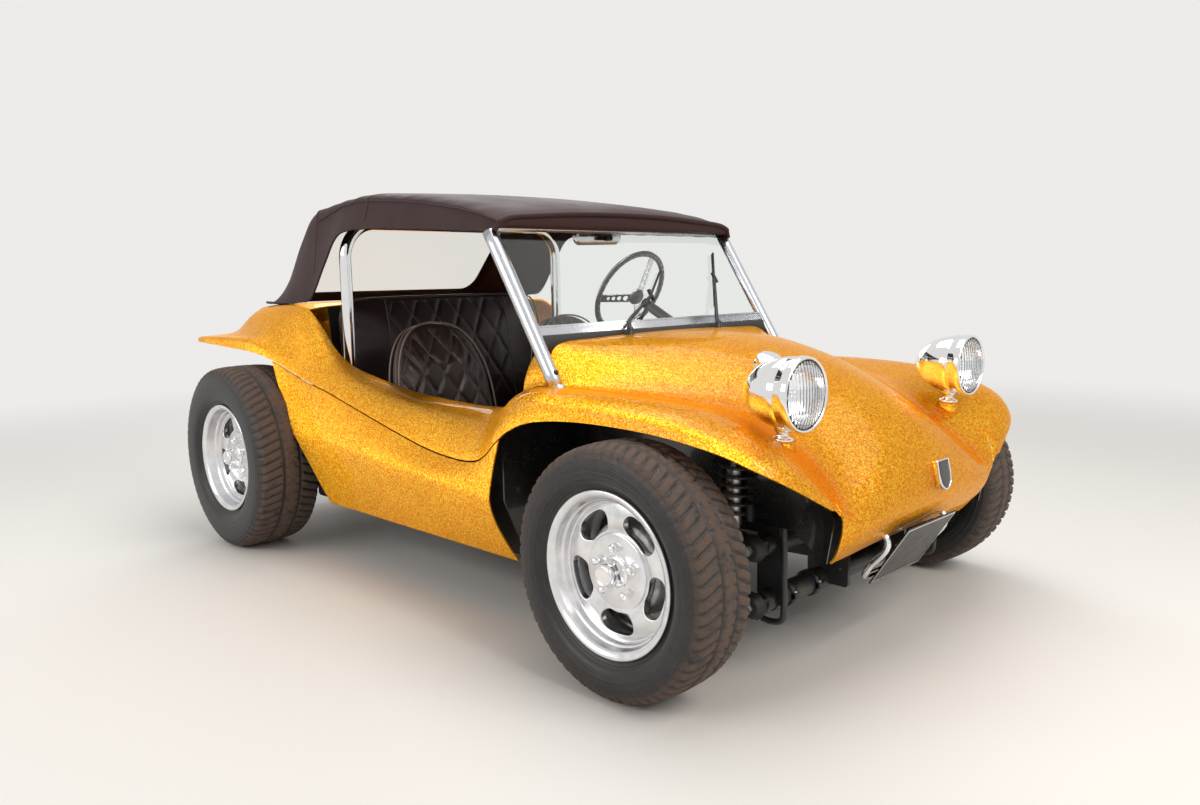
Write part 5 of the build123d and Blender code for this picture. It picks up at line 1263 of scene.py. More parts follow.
# %% Seal between rail and scuttle
# Under the rail the seal is flat; below, it follows the bonnet's rear row at every width.
SEAL_HALF = 0.0085
width = np.linspace(-0.544, 0.544, 61)
order = np.argsort(bonnet[0, :, 1])
row = bonnet[0, order]
under = np.stack([np.full(61, FOOT[0]), width, np.full(61, FOOT[2])], -1)
scuttle = np.stack([np.maximum(np.interp(width, row[:, 1], row[:, 0]), FOOT[0] - 0.004), width,
                    np.maximum(np.interp(width, row[:, 1], row[:, 2]) - 0.012, 0.8)], -1)
front = FACING * SEAL_HALF
sheet = np.stack([under + front, under + front * 1.25 - RAKE * 0.004, scuttle + front, scuttle - front,
                  under - front])
finish_piece(solid("windscreen_seal", sheet, True, False), BLACK_RUBBER)
print("seal points", sheet.shape)

# %% Mirror
def pill(a, b, grow, half_a, half_b, corner):
    """A rounded rectangle on two directions, grown by a margin."""
    loop = rounded_rectangle(half_a, half_b, corner, grow)
    return loop[:, :1] * np.asarray(a, float) + loop[:, 1:] * np.asarray(b, float)


def pillow(name, centre, a, b, out, half_a, half_b, corner, steps):
    """Rings of a rounded rectangle; each step is (grow, height along out) in millimetres."""
    rings = [np.asarray(centre) + pill(a, b, grow / 1000, half_a, half_b, corner) + np.asarray(out) * h / 1000
             for grow, h in steps]
    return solid(name, capped(rings))


glass_way = unit([-0.985, 0.12, -0.1])
glass_up = unit([glass_way[2], 0, -glass_way[0]])
glass_side = np.cross(glass_up, glass_way)
centre = np.array([0.314, -0.054, 1.158])
case = pillow("mirror_case", centre, glass_side, glass_up, glass_way, 0.098, 0.028, 0.024,
              [(-16, -16), (-8, -14.5), (-2, -10), (0, -4), (0, 6), (-2, 7.5), (-4, 6)])
face = pillow("mirror_glass", centre, glass_side, glass_up, glass_way, 0.094, 0.024, 0.02,
              [(0, 4), (0, 6.2), (-4, 6.4)])
stem_path = smooth_line([centre - glass_way * 0.012, centre - glass_way * 0.028 + [0, 0, 0.004],
                         centre + [0.046, 0.004, 0.004], centre + [0.054, 0.006, -0.001]], 8)
bracket = [capped_tube("stem", stem_path, 0.0055, 14)]
for y in (-0.055, -0.033):
    bracket.append(rounded_bar("grip", [0.358, y, 1.146], [0.35, y, 1.192], ACROSS, 0.006, 0.022, 0.002))
bracket.append(rounded_bar("grip_bar", [0.357, -0.058, 1.152], [0.357, -0.03, 1.152], (0, 0, 1), 0.018,
                           0.014))
finish_piece(case, ALLOY, ("rear_view_mirror",))
finish_piece(face, MIRROR)
finish_piece(joined("mirror_bracket", bracket), BLACK_PLASTIC)
print("mirror pieces", 3)

# %% Wipers
SPINDLE = [(-4, 0), (-4, 19), (2, 19), (6, 14), (20, 11), (26, 8), (27, 0)]


def wiper(name, pivot, heel, joint, low, tip):
    """A capped spindle, an arm that narrows to its joint, and a blade of a spine and a lip."""
    path = smooth_line([pivot + [0, 0, 0.018], heel, heel + (joint - heel) * 0.5, joint], 6)
    return joined(name, [
        lathe("spindle", SPINDLE, pivot, (0.12, 0, 1), 28),
        capped_tube("arm", path, 0.0085 - 0.0045 * np.linspace(0, 1, len(path)), 12),
        rounded_bar("spine", low, tip, ACROSS, 0.006, 0.0055, 0.0015, 8),
        rounded_bar("lip", low - FACING * 0.006, tip - FACING * 0.006, ACROSS, 0.0022, 0.009, 0.0008, 8),
        rounded_bar("yoke", joint - RAKE * 0.02, joint + RAKE * 0.02, ACROSS, 0.013, 0.01)])


def on_screen(y, rise, off=0.014):
    """A point in front of the pane: so far across, so far up the rake, and that far off the glass."""
    return FOOT + RAKE * rise + ACROSS * y + FACING * off


blades = [wiper("wiper_right", np.array([0.618, -0.216, 0.842]), on_screen(-0.18, 0.02, 0.03),
                on_screen(-0.004, 0.12), on_screen(-0.101, 0.032), on_screen(0.102, 0.215)),
          wiper("wiper_left", np.array([0.618, 0.227, 0.842]), on_screen(0.262, 0.02, 0.03),
                on_screen(0.378, 0.182), on_screen(0.306, 0.066), on_screen(0.441, 0.289))]
finish_piece(joined("wiper_arms_and_blades", blades), BLACK_PLASTIC, ("wipers",))
print("wipers", len(blades))

# %% [markdown]
# ## Headlamps, filler cap, shield and plate
# Every lamp is turned: a chrome bullet with a band, a bright reflector inside and a clear fluted
# lens in front. It stands on a chrome swivel over a gold pod that grows out of the wing.

# %% Headlamps
LAMP = np.array([1.402, 0.45, 0.738])
shells, lenses, mirrors, pods, bulbs = [], [], [], [], []
for sign in (1, -1):
    place = LAMP * [1, sign, 1]
    shells.append(lathe("bullet", [(-163, 0), (-162, 10), (-158, 21.5), (-149, 36.5), (-136, 51.5),
                                   (-118, 65.5), (-96, 77), (-70, 85), (-44, 89.3), (-30, 90.3),
                                   (-28.5, 89), (-26.5, 89), (-25, 90.5), (-10, 91.2), (-8.5, 92.6),
                                   (4, 92.6), (10.5, 91.8), (13.5, 89.5), (13.5, 86.5), (10, 84),
                                   (4, 83.2), (0, 83.2), (-8, 86), (-60, 80), (-120, 52), (-150, 0)],
                        place, (1, 0, 0), 96))
    mirrors.append(lathe("reflector", [(2, 83), (-10, 79), (-25, 72), (-40, 61), (-53, 45),
                                       (-60, 28), (-62, 14), (-62, 0), (-64, 0), (-62, 29),
                                       (-55, 46.5), (-42, 63), (-27, 74.2), (-12, 81), (0, 83.2)],
                         place, (1, 0, 0), 72))
    lenses.append(lathe("lens", [(21.5, 0), (21.2, 20), (19.6, 40), (16.5, 60), (12.5, 75), (8.5, 84),
                                 (4.5, 84), (9, 74), (13.2, 60), (16.5, 40), (18.2, 20), (18.5, 0)],
                        place, (1, 0, 0), 96))
    bulbs.append(lathe("bulb", [(-61, 0), (-61, 11), (-48, 11), (-46, 9), (-36, 9), (-30, 6),
                                (-28, 0)], place, (1, 0, 0), 24))
    foot = place + [-0.058, 0, -0.112]
    shells.append(lathe("swivel", [(-6, 0), (-6, 28.5), (0, 29), (4, 26.5), (6, 18), (10, 15),
                                   (14, 15), (18, 19.5), (24, 22.5), (32, 22), (38, 17.5), (46, 13),
                                   (60, 12), (60, 0)], foot, (0.1, 0, 1), 40))
    pods.append(lathe("pod", [(1, 0), (1, 26.5), (-0.5, 30), (-4, 32.2), (-12, 33.2),
                              (-40, 35), (-70, 40), (-82, 46), (-86, 0)],
                      foot - [0, 0, 0.004], (0, 0, 1), 56))
finish_piece(joined("headlamp_bullets", shells), CHROME, ("headlamps",))
finish_piece(joined("headlamp_fluted_lenses", lenses), LENS, ("headlamp_lenses",))
finish_piece(joined("headlamp_reflectors", mirrors), MIRROR)
finish_piece(joined("headlamp_bulbs", bulbs), CHROME)
finish_piece(joined("headlamp_pods", pods), GOLD)
print("headlamp parts", len(shells + lenses + mirrors + bulbs + pods))

# %% Filler cap
cap_way = np.array([0.36, -0.31, 1.0])
cap_place = np.array([1.12, -0.19, 0.774])
cap = [lathe("cap", [(-14, 0), (-14, 41), (2, 41), (5, 39.5), (6.5, 36), (10, 35), (20, 35),
                     (23.5, 33.8), (25.5, 30.5), (28, 22), (29.2, 11), (29.5, 0)], cap_place, cap_way, 64)]
hinge_way = unit(np.cross(cap_way, [0, 0, 1.0]))
rise = unit(cap_way)
back_way = np.cross(rise, hinge_way)
for sign, reach in ((1, 0.04), (-1, 0.039)):
    middle = cap_place + rise * 0.013 + back_way * reach * sign
    cap.append(rounded_bar("latch", middle - hinge_way * 0.009, middle + hinge_way * 0.009, rise, 0.013,
                           0.009))
finish_piece(joined("filler_cap_turned", cap), CHROME, ("fuel_filler_cap",))
print("filler cap parts", len(cap))

# %% Shield and plate
SHIELD = np.array([(-32, 39), (32, 39), (33, 0), (27.5, -26), (13, -38.5), (0, -42), (-13, -38.5),
                   (-27.5, -26), (-33, 0)]) / 1000
SHIELD_AT = np.array([1.5385, 0.0, 0.492])
SHIELD_OUT = np.array([0.98, 0.0, 0.199])
SHIELD_UP = np.array([-0.199, 0.0, 0.98])
PLATE_TOP = np.array([1.524, 0.0, 0.372])
PLATE_TILT = math.radians(33)
TAIL_PLATE_AT = np.array([REAR_X - 0.4535, 0, 0.64])


def shield(name, rings):
    """A blank shield, straight above and pointed below. Each ring is its outline scaled by
    1 + grow / 30 mm at a height off the nose; both are in millimetres."""
    loop = even_loop(SHIELD, 64)
    sheets = []
    for grow, height in rings:
        flat = loop * (1 + grow / 30)
        sheets.append(SHIELD_AT + flat[:, :1] * ACROSS + flat[:, 1:] * SHIELD_UP + SHIELD_OUT * height / 1000)
    return solid(name, capped(sheets))


def plate_border(middle, up, out):
    """A flat raised band 4 mm wide, just inside a plate's edge."""
    rings = [middle + pill(ACROSS, up, grow, 0.1395, 0.1015, 0.008) + out * height
             for grow, height in ((-0.0045, 0.0001), (-0.0045, 0.001), (-0.0085, 0.001), (-0.0085, 0.0001))]
    return merge(surface("plate_border", np.stack(rings), wrap_u=True, wrap_v=True), 1e-7)


rim = shield("shield_rim", [(0, -6), (0, 11.5), (-0.6, 13), (-1.6, 13.2), (-2.5, 12), (-2.6, 10.5)])
finish_piece(rim, CHROME)
finish_piece(shield("shield_blank", [(-2.4, 7), (-2.4, 11.2), (-4, 12), (-12, 12.4)]), GLOSS_BLACK)
plate_out = np.array([math.cos(PLATE_TILT), 0, -math.sin(PLATE_TILT)])
plate_down = np.array([-math.sin(PLATE_TILT), 0, -math.cos(PLATE_TILT)])
plate_middle = PLATE_TOP + plate_down * 0.1075 + plate_out * 0.003
borders = [plate_border(plate_middle, -plate_down, plate_out),
           plate_border(TAIL_PLATE_AT, np.array([0, 0, 1]), np.array([-1, 0, 0]))]
finish_piece(joined("plate_borders", borders), ALLOY)
print("plate borders", len(borders))

# %% Tube round the front plate
# Half of it as (across, down from the plate's top); its ends go back under the nose.
half_tube = [(-0.163, 0.06), (-0.163, 0.15), (-0.16, 0.18), (-0.146, 0.192), (-0.11, 0.195)]
loop = [PLATE_TOP + ACROSS * side + plate_down * drop - plate_out * 0.016
        for side, drop in half_tube + [(-side, drop) for side, drop in half_tube[::-1]]]
into = plate_out * -0.12 + plate_down * -0.02
loop = [loop[0] + into] + loop + [loop[-1] + into]
finish_piece(capped_tube("nose_guard_tube", smooth_line(loop, 8), 0.0085, 18), CHROME)
print("guard tube points", len(loop))

# %% [markdown]
# ## Padded seats
# A cushion starts as a thin closed pillow over an outline. Then the real thing is copied: the cover
# is cloth, blown up by the stuffing until it pulls tight, with its edge seam held. Quilting comes
# after that, as slanting stitch lines that draw the cover in, kept as numbers for the finish.

# %% Cushion shapes
def outline_points(corners, steps=120):
    """A closed outline with soft corners. Three times each side is cut to its middle half, which
    rounds the corners; then the steps are evened out."""
    loop = np.array(corners, float)
    for _ in range(3):
        after = np.roll(loop, -1, 0)
        loop = np.stack([0.75 * loop + 0.25 * after, 0.25 * loop + 0.75 * after], 1).reshape(-1, 2)
    return even_loop(loop, steps)


def pillow_sheet(outline, thick, place, a, b, bend=0.0):
    """Out from the middle by share s, over the edge and back: the half thickness is
    thick/2 (1 - s^5)^(1/2). The front also curves forward by bend times the square of the width."""
    share = np.concatenate([np.linspace(0, 0.9, 12), [0.95, 0.98, 0.995, 1.0]])
    front = thick / 2 * np.sqrt(np.clip(1 - share ** 5, 0, 1))
    middle = outline.mean(0)
    flat = middle + (outline - middle) * share[:, None, None]
    flat = np.concatenate([flat, flat[-2::-1]])
    height = np.concatenate([front, -front[-2::-1]])
    lift = height[:, None] + bend * (flat[..., 0] / np.abs(outline[:, 0]).max()) ** 2
    return flat[..., :1] * a + flat[..., 1:] * b + lift[..., None] * np.cross(a, b) + place


def share_out(outline, flat):
    """How far out a point lies: its distance from the outline's middle, over the outline's own
    distance in the same direction."""
    middle = outline.mean(0)
    turn = np.arctan2(*(outline - middle).T[::-1])
    order = np.argsort(turn)
    reach = np.interp(np.arctan2(*(flat - middle).T[::-1]), turn[order],
                      np.linalg.norm(outline - middle, axis=1)[order], period=2 * np.pi)
    return np.linalg.norm(flat - middle, axis=1) / reach


print("outline", outline_points([(0, 0), (1, 0), (1, 1), (0, 1)]).shape)

# %% Blowing up and quilting
CLOTH_FRAMES = 14


def read_points(mesh, name="co"):
    """A mesh's points, or its normals, as an array (n, 3)."""
    values = np.empty(len(mesh.vertices) * 3)
    mesh.vertices.foreach_get(name, values)
    return values.reshape(-1, 3)


def write_points(piece, points):
    """Moves a piece's vertices."""
    piece.data.vertices.foreach_set("co", points.astype(np.float32).ravel())
    piece.data.update()


def blown_up(piece, rest, seam, cap):
    """Cloth under pressure with its seam pinned, read after a few frames; no point may have moved
    by more than the cap."""
    held = piece.vertex_groups.new(name="seam")
    held.add([int(k) for k in np.nonzero(seam)[0]], 1.0, "REPLACE")
    bpy.context.scene.use_gravity = False
    cloth = piece.modifiers.new("cover", "CLOTH")
    cloth.settings.quality = 5
    cloth.settings.use_pressure = True
    cloth.settings.uniform_pressure_force = 4
    cloth.settings.tension_stiffness = 40
    cloth.settings.bending_stiffness = 4
    cloth.settings.vertex_group_mass = "seam"
    cloth.collision_settings.use_collision = False
    cloth.point_cache.frame_start, cloth.point_cache.frame_end = 1, CLOTH_FRAMES
    for frame_number in range(1, CLOTH_FRAMES + 1):
        bpy.context.scene.frame_set(frame_number)
    step = read_points(piece.evaluated_get(bpy.context.evaluated_depsgraph_get()).data) - rest
    piece.modifiers.remove(cloth)
    step *= np.minimum(1.0, cap / np.maximum(np.linalg.norm(step, axis=1)[:, None], 1e-9))
    write_points(piece, rest + step)
    bpy.context.scene.frame_set(1)
    bpy.context.scene.use_gravity = True
    return rest + step


def cushion(name, outline, thick, place, a, b, bend=0.0, grain=0.0068, cap=0.016):
    """Makes the pillow's mesh even and blows it up. Gives the piece, its points, their places on the
    outline's plane, and how far out each lies."""
    a, b = np.asarray(a, float), np.asarray(b, float)
    piece = solid(name, pillow_sheet(outline, thick, place, a, b, bend))
    modify(piece, "REMESH", mode="VOXEL", voxel_size=grain, use_smooth_shade=True)
    modify(piece, "SMOOTH", factor=0.5, iterations=4)
    rest = read_points(piece.data)
    flat = np.stack([(rest - place) @ a, (rest - place) @ b], -1)
    share = share_out(outline, flat)
    rest = blown_up(piece, rest, share > 0.985, cap)
    return piece, rest, flat, share


def quilt(piece, rest, flat, out, size, inside, deep=0.005, shift=(0.0, 0.0)):
    """Two families of lines cross at the diamonds' corners: u = x/w + y/h and v = x/w - y/h. The
    cover is drawn in by deep times exp(-(d/7.5 mm)^2) for the distance d to the nearer line."""
    w, h = size
    x, y = (flat[:, 0] + shift[0]) / w, (flat[:, 1] + shift[1]) / h
    u, v = x + y, x - y
    away = np.minimum(np.abs(u - np.round(u)), np.abs(v - np.round(v))) / math.hypot(1 / w, 1 / h)
    normals = read_points(piece.data, "normal")
    where = smooth_step(inside, 0.0, 1.0) * np.clip(normals @ np.asarray(out, float) * 1.6 - 0.3, 0, 1)
    write_points(piece, rest - normals * (deep * np.exp(-(away / 0.0075) ** 2) * where)[:, None])
    for name, values in (("quilt_u", u), ("quilt_v", v), ("quilt_on", where)):
        attribute(piece, name, values)


def quilted(name, dark, light, size):
    """The seat cover: pale stitches lie in the creases, where either of the two line numbers is
    nearly whole and the quilt number is up; the crease is also a fine line of relief."""
    material = vinyl(name, dark, light, 0.4, 460.0, 0.00012, 0.06)
    tree = material.node_tree
    shader = tree.nodes["Principled BSDF"]
    pitch = 1.0 / math.hypot(1 / size[0], 1 / size[1])
    lines, threads = [], []
    for this, other in (("quilt_u", "quilt_v"), ("quilt_v", "quilt_u")):
        whole = calculate(tree, "PINGPONG", mark(tree, this), 0.5)
        lines.append(span(tree, whole, 0.0, 0.0032 / pitch, 1.0, 0.0))
        thin = span(tree, whole, 0.0008 / pitch, 0.0014 / pitch, 1.0, 0.0)
        part = calculate(tree, "FRACT", calculate(tree, "MULTIPLY", mark(tree, other), 12.0))
        threads.append(calculate(tree, "MULTIPLY", thin, span(tree, part, 0.68, 0.74, 1.0, 0.0)))
    crease, thread = (calculate(tree, "MULTIPLY", calculate(tree, "MAXIMUM", *pair), mark(tree, "quilt_on"))
                      for pair in (lines, threads))
    under, grain = (shader.inputs[name].links[0].from_socket for name in ("Base Color", "Normal"))
    bump(tree, shader, span(tree, crease, 0.0, 1.0, 1.0, 0.0), 0.0016, 0.9, Normal=grain)
    return feed_shader(material, {"Base Color": blend_colour(tree, thread, under, (0.2, 0.115, 0.085, 1))})


DIAMOND = (0.092, 0.15)
QUILTED = quilted("quilted_vinyl", (0.036, 0.013, 0.01), (0.062, 0.024, 0.017), DIAMOND)
print("cushion helpers ready")

# %% Front seats
BACK_LOW = np.array([0.738 + REAR_X, 0.0, 0.4])
BACK_TOP = np.array([0.64 + REAR_X, 0.0, 0.852])
BACK_UP = unit(BACK_TOP - BACK_LOW)
BACK_LENGTH = float(np.linalg.norm(BACK_TOP - BACK_LOW))
BACK_OUT = np.cross(ACROSS, BACK_UP)
BACK_SHAPE = outline_points([(-0.205, 0.0), (-0.212, 0.16), (-0.2, 0.3), (-0.15, 0.415),
                             (-0.07, BACK_LENGTH + 0.012), (0.07, BACK_LENGTH + 0.012), (0.15, 0.415),
                             (0.2, 0.3), (0.212, 0.16), (0.205, 0.0), (0.12, -0.02), (-0.12, -0.02)])
SEAT_LOW = np.array([0.7 + REAR_X, 0.0, 0.392])
SEAT_AHEAD = unit(np.array([0.985, 0.0, 0.075]))
SEAT_SHAPE = outline_points([(-0.205, 0.02), (-0.205, 0.36), (-0.185, 0.415), (-0.12, 0.432), (0.12, 0.432),
                             (0.185, 0.415), (0.205, 0.36), (0.205, 0.02), (0.14, 0.0), (-0.14, 0.0)])


def seat_pieces(middle_y):
    """A back and a cushion about a middle line, blown up and quilted on the side that is sat on."""
    place = BACK_LOW + ACROSS * middle_y
    back, rest, flat, share = cushion("seat_back", BACK_SHAPE, 0.085, place, ACROSS, BACK_UP, bend=0.03)
    border = (0.93 - share) / 0.05
    quilt(back, rest, flat, BACK_OUT, DIAMOND, border, shift=(0.0, 0.02))
    place = SEAT_LOW + ACROSS * middle_y
    base, rest, flat, share = cushion("seat_cushion", SEAT_SHAPE, 0.105, place, ACROSS, SEAT_AHEAD,
                                      bend=0.022)
    quilt(base, rest, flat, np.cross(SEAT_AHEAD, ACROSS), DIAMOND, (0.9 - share) / 0.05)
    return back, base


def copy_across(piece, name):
    """The same mesh on the car's other side, with its faces turned back outwards."""
    twin = piece.copy()
    twin.data = piece.data.copy()
    twin.name = twin.data.name = name
    bpy.context.scene.collection.objects.link(twin)
    twin.data.transform(Matrix.Scale(-1, 4, (0, 1, 0)))
    twin.data.flip_normals()
    return twin


def edge_path(shape, place, a, b, thick, bend, grow=1.0):
    """Where the piping lies: the outline grown a little, on the front edge of the pillow."""
    out = np.cross(a, b)
    middle = shape.mean(0)
    flat = middle + (shape - middle) * grow
    width = np.abs(shape[:, 0]).max()
    lift = thick + bend * (flat[:, 0] / width) ** 2
    return flat[:, :1] * a + flat[:, 1:] * b + lift[:, None] * out + place


SEAT_Y = 0.335
back, base = seat_pieces(SEAT_Y)
seats = {"left": (back, base)}
seats["right"] = (copy_across(back, "seat_back_right"), copy_across(base, "seat_cushion_right"))
for side, (back, base) in seats.items():
    sign = 1 if side == "left" else -1
    back.name, base.name = f"seat_back_{side}", f"seat_cushion_{side}"
    finish_piece(back, QUILTED, (f"seat_{side}",))
    finish_piece(base, QUILTED)
    place = ACROSS * SEAT_Y
    paths = [edge_path(BACK_SHAPE, BACK_LOW + place, ACROSS, BACK_UP, 0.03, 0.03, 0.985),
             edge_path(BACK_SHAPE, BACK_LOW + place, ACROSS, BACK_UP, -0.032, 0.03, 0.985),
             edge_path(SEAT_SHAPE, SEAT_LOW + place, ACROSS, SEAT_AHEAD, -0.036, 0.022, 0.985)]
    cords = []
    for path in paths:
        path = path * [1, sign, 1]
        cords.append(piping("piping", path, 0.0036))
    finish_piece(joined(f"seat_piping_{side}", cords), PIPING)
    tray = (SEAT_LOW + place + SEAT_AHEAD * 0.215) * [1, sign, 1]
    shell = pillow(f"seat_tray_{side}", tray - np.array([0, 0, 0.168]), SEAT_AHEAD, ACROSS, (0, 0, 1), 0.2,
                   0.192, 0.05, [(-4, 0), (0, 6), (0, 105), (-6, 118), (-12, 122)])
    finish_piece(shell, GLOSS_BLACK)
    rails = [rounded_bar("rail", tray + [-0.18, dy, -0.172], tray + [0.2, dy, -0.172], ACROSS, 0.024, 0.016,
                         0.003) for dy in (-0.13, 0.13)]
    finish_piece(joined(f"seat_rails_{side}", rails), STEEL)
print("front seats", len(seats))

# %% Rear seat
BENCH_DIAMOND = (0.115, 0.19)
REAR_LOW = np.array([0.352 + REAR_X, 0.0, 0.44])
REAR_TOP = np.array([0.262 + REAR_X, 0.0, 0.952])
REAR_UP = unit(REAR_TOP - REAR_LOW)
REAR_LENGTH = float(np.linalg.norm(REAR_TOP - REAR_LOW))
REAR_OUT = np.cross(ACROSS, REAR_UP)
REAR_SHAPE = outline_points([(-0.5, 0.0), (-0.505, 0.3), (-0.5, REAR_LENGTH - 0.05), (-0.46, REAR_LENGTH),
                             (-0.2, REAR_LENGTH + 0.004), (0.2, REAR_LENGTH + 0.004), (0.46, REAR_LENGTH),
                             (0.5, REAR_LENGTH - 0.05), (0.505, 0.3), (0.5, 0.0), (0.3, -0.004),
                             (-0.3, -0.004)], steps=200)
bench_back, rest, flat, share = cushion("rear_seat_back", REAR_SHAPE, 0.062, REAR_LOW, ACROSS, REAR_UP,
                                        grain=0.0075, cap=0.014)
inside = np.minimum((0.29 - np.abs(flat[:, 0])) / 0.01, (0.95 - share) / 0.03)
quilt(bench_back, rest, flat, REAR_OUT, BENCH_DIAMOND, inside, deep=0.0045, shift=(0.0, 0.03))
BENCH_LOW = np.array([0.335 + REAR_X, 0.0, 0.398])
BENCH_SHAPE = outline_points([(-0.495, 0.0), (-0.5, 0.12), (-0.48, 0.172), (0.48, 0.172), (0.5, 0.12),
                              (0.495, 0.0)], steps=200)
bench, rest, flat, share = cushion("rear_seat_cushion", BENCH_SHAPE, 0.095, BENCH_LOW, ACROSS, (1.0, 0, 0.0),
                                   grain=0.0075, cap=0.014)
inside = np.minimum((0.29 - np.abs(flat[:, 0])) / 0.01, (0.8 - share) / 0.05)
quilt(bench, rest, flat, (0, 0, 1), BENCH_DIAMOND, inside, deep=0.0035)
REAR_QUILT = quilted("rear_quilted_vinyl", (0.03, 0.012, 0.01), (0.052, 0.02, 0.015), BENCH_DIAMOND)
finish_piece(bench_back, REAR_QUILT, ("rear_seat",))
finish_piece(bench, REAR_QUILT)
seams = []
for sign in (1, -1):
    up_share = np.linspace(0.02, 0.98, 40)
    line = REAR_LOW + REAR_UP * REAR_LENGTH * up_share[:, None] + ACROSS * sign * 0.3 + REAR_OUT * 0.036
    seams.append(solid("seam", tube(line, 0.0036, 10)))
top = edge_path(REAR_SHAPE, REAR_LOW, ACROSS, REAR_UP, 0.02, 0.0, 0.992)
seams.append(piping("seam", top, 0.0036))
finish_piece(joined("rear_seat_seams", seams), SEAT_VINYL)
print("rear seat", len(bench_back.data.vertices))

# %% [markdown]
# ## Dashboard
# Under the gold return of the scuttle runs a padded rail in the seats' vinyl. The steering column
# comes out below it. One dial with a plain face sits in front of the left seat, with two knobs.

# %% Dashboard rail and dial
DASH = smooth_line(np.array([(0.56, 0.786), (0.528, 0.782), (0.508, 0.764), (0.503, 0.73), (0.512, 0.7),
                             (0.53, 0.694), (0.54, 0.715), (0.545, 0.755), (0.56, 0.786)]), 6)[:-1]
width = np.linspace(-0.515, 0.515, 41)
taper = 1.0 - 0.35 * smooth_step(np.abs(width), 0.5, 0.516)
middle = DASH.mean(0)
section = middle + (DASH - middle) * taper[:, None, None]
rail = np.stack([section[..., 0], np.broadcast_to(width[:, None], section.shape[:2]), section[..., 1]], -1)
finish_piece(solid("dashboard_rail", capped(rail)), SEAT_VINYL, ("dashboard",))
facing_back = np.array([-1.0, 0.0, 0.06])
dial_at = np.array([0.503, 0.325, 0.733])
ring = lathe("dial_ring", [(-4, 26), (6, 28), (7, 26), (5, 23.5), (-4, 22.5), (-4, 26)],
             dial_at, facing_back, 48)
knobs = [lathe("knob", [(0, 0), (0, 4), (14, 4), (15, 9), (26, 10), (29, 7), (29, 0)],
               np.array([0.505, y, 0.733]), facing_back, 20) for y in (0.205, 0.165)]
finish_piece(joined("dial_ring_and_knobs", [ring] + knobs), CHROME)
dial = lathe("dial_face", [(-3, 0), (-3, 23.2), (2, 23.2), (2, 0)], dial_at, facing_back, 40)
finish_piece(dial, BLANK_PLATE)
print("dashboard pieces 3")

# %% [markdown]
# ## Steering wheel
# A thin wheel with three flat drilled spokes. A spoke is a bar with four round holes: each hole's
# circle is joined to the edge of its own stretch of bar, so the bar stays one closed solid.

# %% Steering wheel
HUB = np.array([0.15, 0.325, 0.94])
TOWARDS = np.array([-0.8841, 0.0, 0.4673])
LEFT = np.array([0.0, 1.0, 0.0])
DOWNWARD = np.cross(TOWARDS, LEFT)
SPOKES = (51, 171, 291)


def drilled_bar(ends, widths, holes, low, high, steps=32):
    """Rings for each hole: the circle at angle t lies at radius r round the hole's place, and its
    partner on the stretch's rectangle lies on the ray of the same t, at 1 over the greater of
    |cos t| / half length and |sin t| / half width. Only the outermost walls are closed."""
    angle = np.arange(steps) * 2 * np.pi / steps
    cuts = [ends[0]] + [(a[0] + b[0]) / 2 for a, b in zip(holes, holes[1:])] + [ends[1]]
    i = np.arange(steps)
    j = (i + 1) % steps
    c, s = np.cos(angle), np.sin(angle)
    vertices, faces, start = [], [], 0
    for (x, r), x0, x1 in zip(holes, cuts, cuts[1:]):
        near = np.interp(x, ends, widths) / 2
        side = np.where(c > 0, x1 - x, x - x0)
        k = 1 / np.maximum(np.abs(c) / side, np.abs(s) / near)
        px = x + k * c
        py = np.clip(k * s / near, -1, 1) * np.interp(px, ends, widths) / 2
        inner = np.stack([x + r * c, r * s], -1)
        outer = np.stack([px, py], -1)
        for z in (high, low):
            for loop in (inner, outer):
                vertices.append(np.column_stack([loop, np.full(steps, z)]))
        top_in, top_out, low_in, low_out = (start + k * steps for k in range(4))
        faces.append(np.stack([top_in + i, top_out + i, top_out + j, top_in + j], -1))
        faces.append(np.stack([low_in + j, low_out + j, low_out + i, low_in + i], -1))
        faces.append(np.stack([low_in + i, top_in + i, top_in + j, low_in + j], -1))
        mid = (px + px[j]) / 2
        wall = np.abs(mid - cuts[0]) < 1e-5
        wall |= np.abs(mid - cuts[-1]) < 1e-5
        wall |= ~((np.abs(mid - x0) < 1e-5) | (np.abs(mid - x1) < 1e-5))
        faces.append(np.stack([top_out + i, low_out + i, low_out + j, top_out + j], -1)[wall])
        start += 4 * steps
    return np.concatenate(vertices), np.concatenate(faces)


def on_wheel(local):
    """Takes (across, down, towards the seat) on the wheel's plane into the frame."""
    local = np.asarray(local, float)
    return HUB + local[..., :1] * LEFT + local[..., 1:2] * DOWNWARD + local[..., 2:3] * TOWARDS


RIM_MIDDLE = 0.164
DISH = 0.038
RIM_OUT = 0.0445
light = []
for degrees in SPOKES:
    vertices, faces = drilled_bar((0.026, 0.158), (0.036, 0.03),
                                  ((0.052, 0.01), (0.078, 0.0086), (0.101, 0.0074), (0.122, 0.0062)), 0.0068,
                                  0.01)
    c, s = math.cos(math.radians(degrees)), math.sin(math.radians(degrees))
    rise = DISH * np.clip((vertices[:, 0] - 0.032) / 0.122, 0, 1)
    turned_bar = np.column_stack([vertices[:, 0] * c - vertices[:, 1] * s,
                                  vertices[:, 0] * s + vertices[:, 1] * c, vertices[:, 2] + rise])
    spoke = merge(make_object("spoke", on_wheel(turned_bar), faces, smooth=False), 1e-5)
    light.append(soften(spoke, 0.0006, 50))
light.append(lathe("hub_plate", [(6, 0), (6, 33), (10.5, 33), (11.5, 31), (11.5, 0)], HUB, TOWARDS, 48))
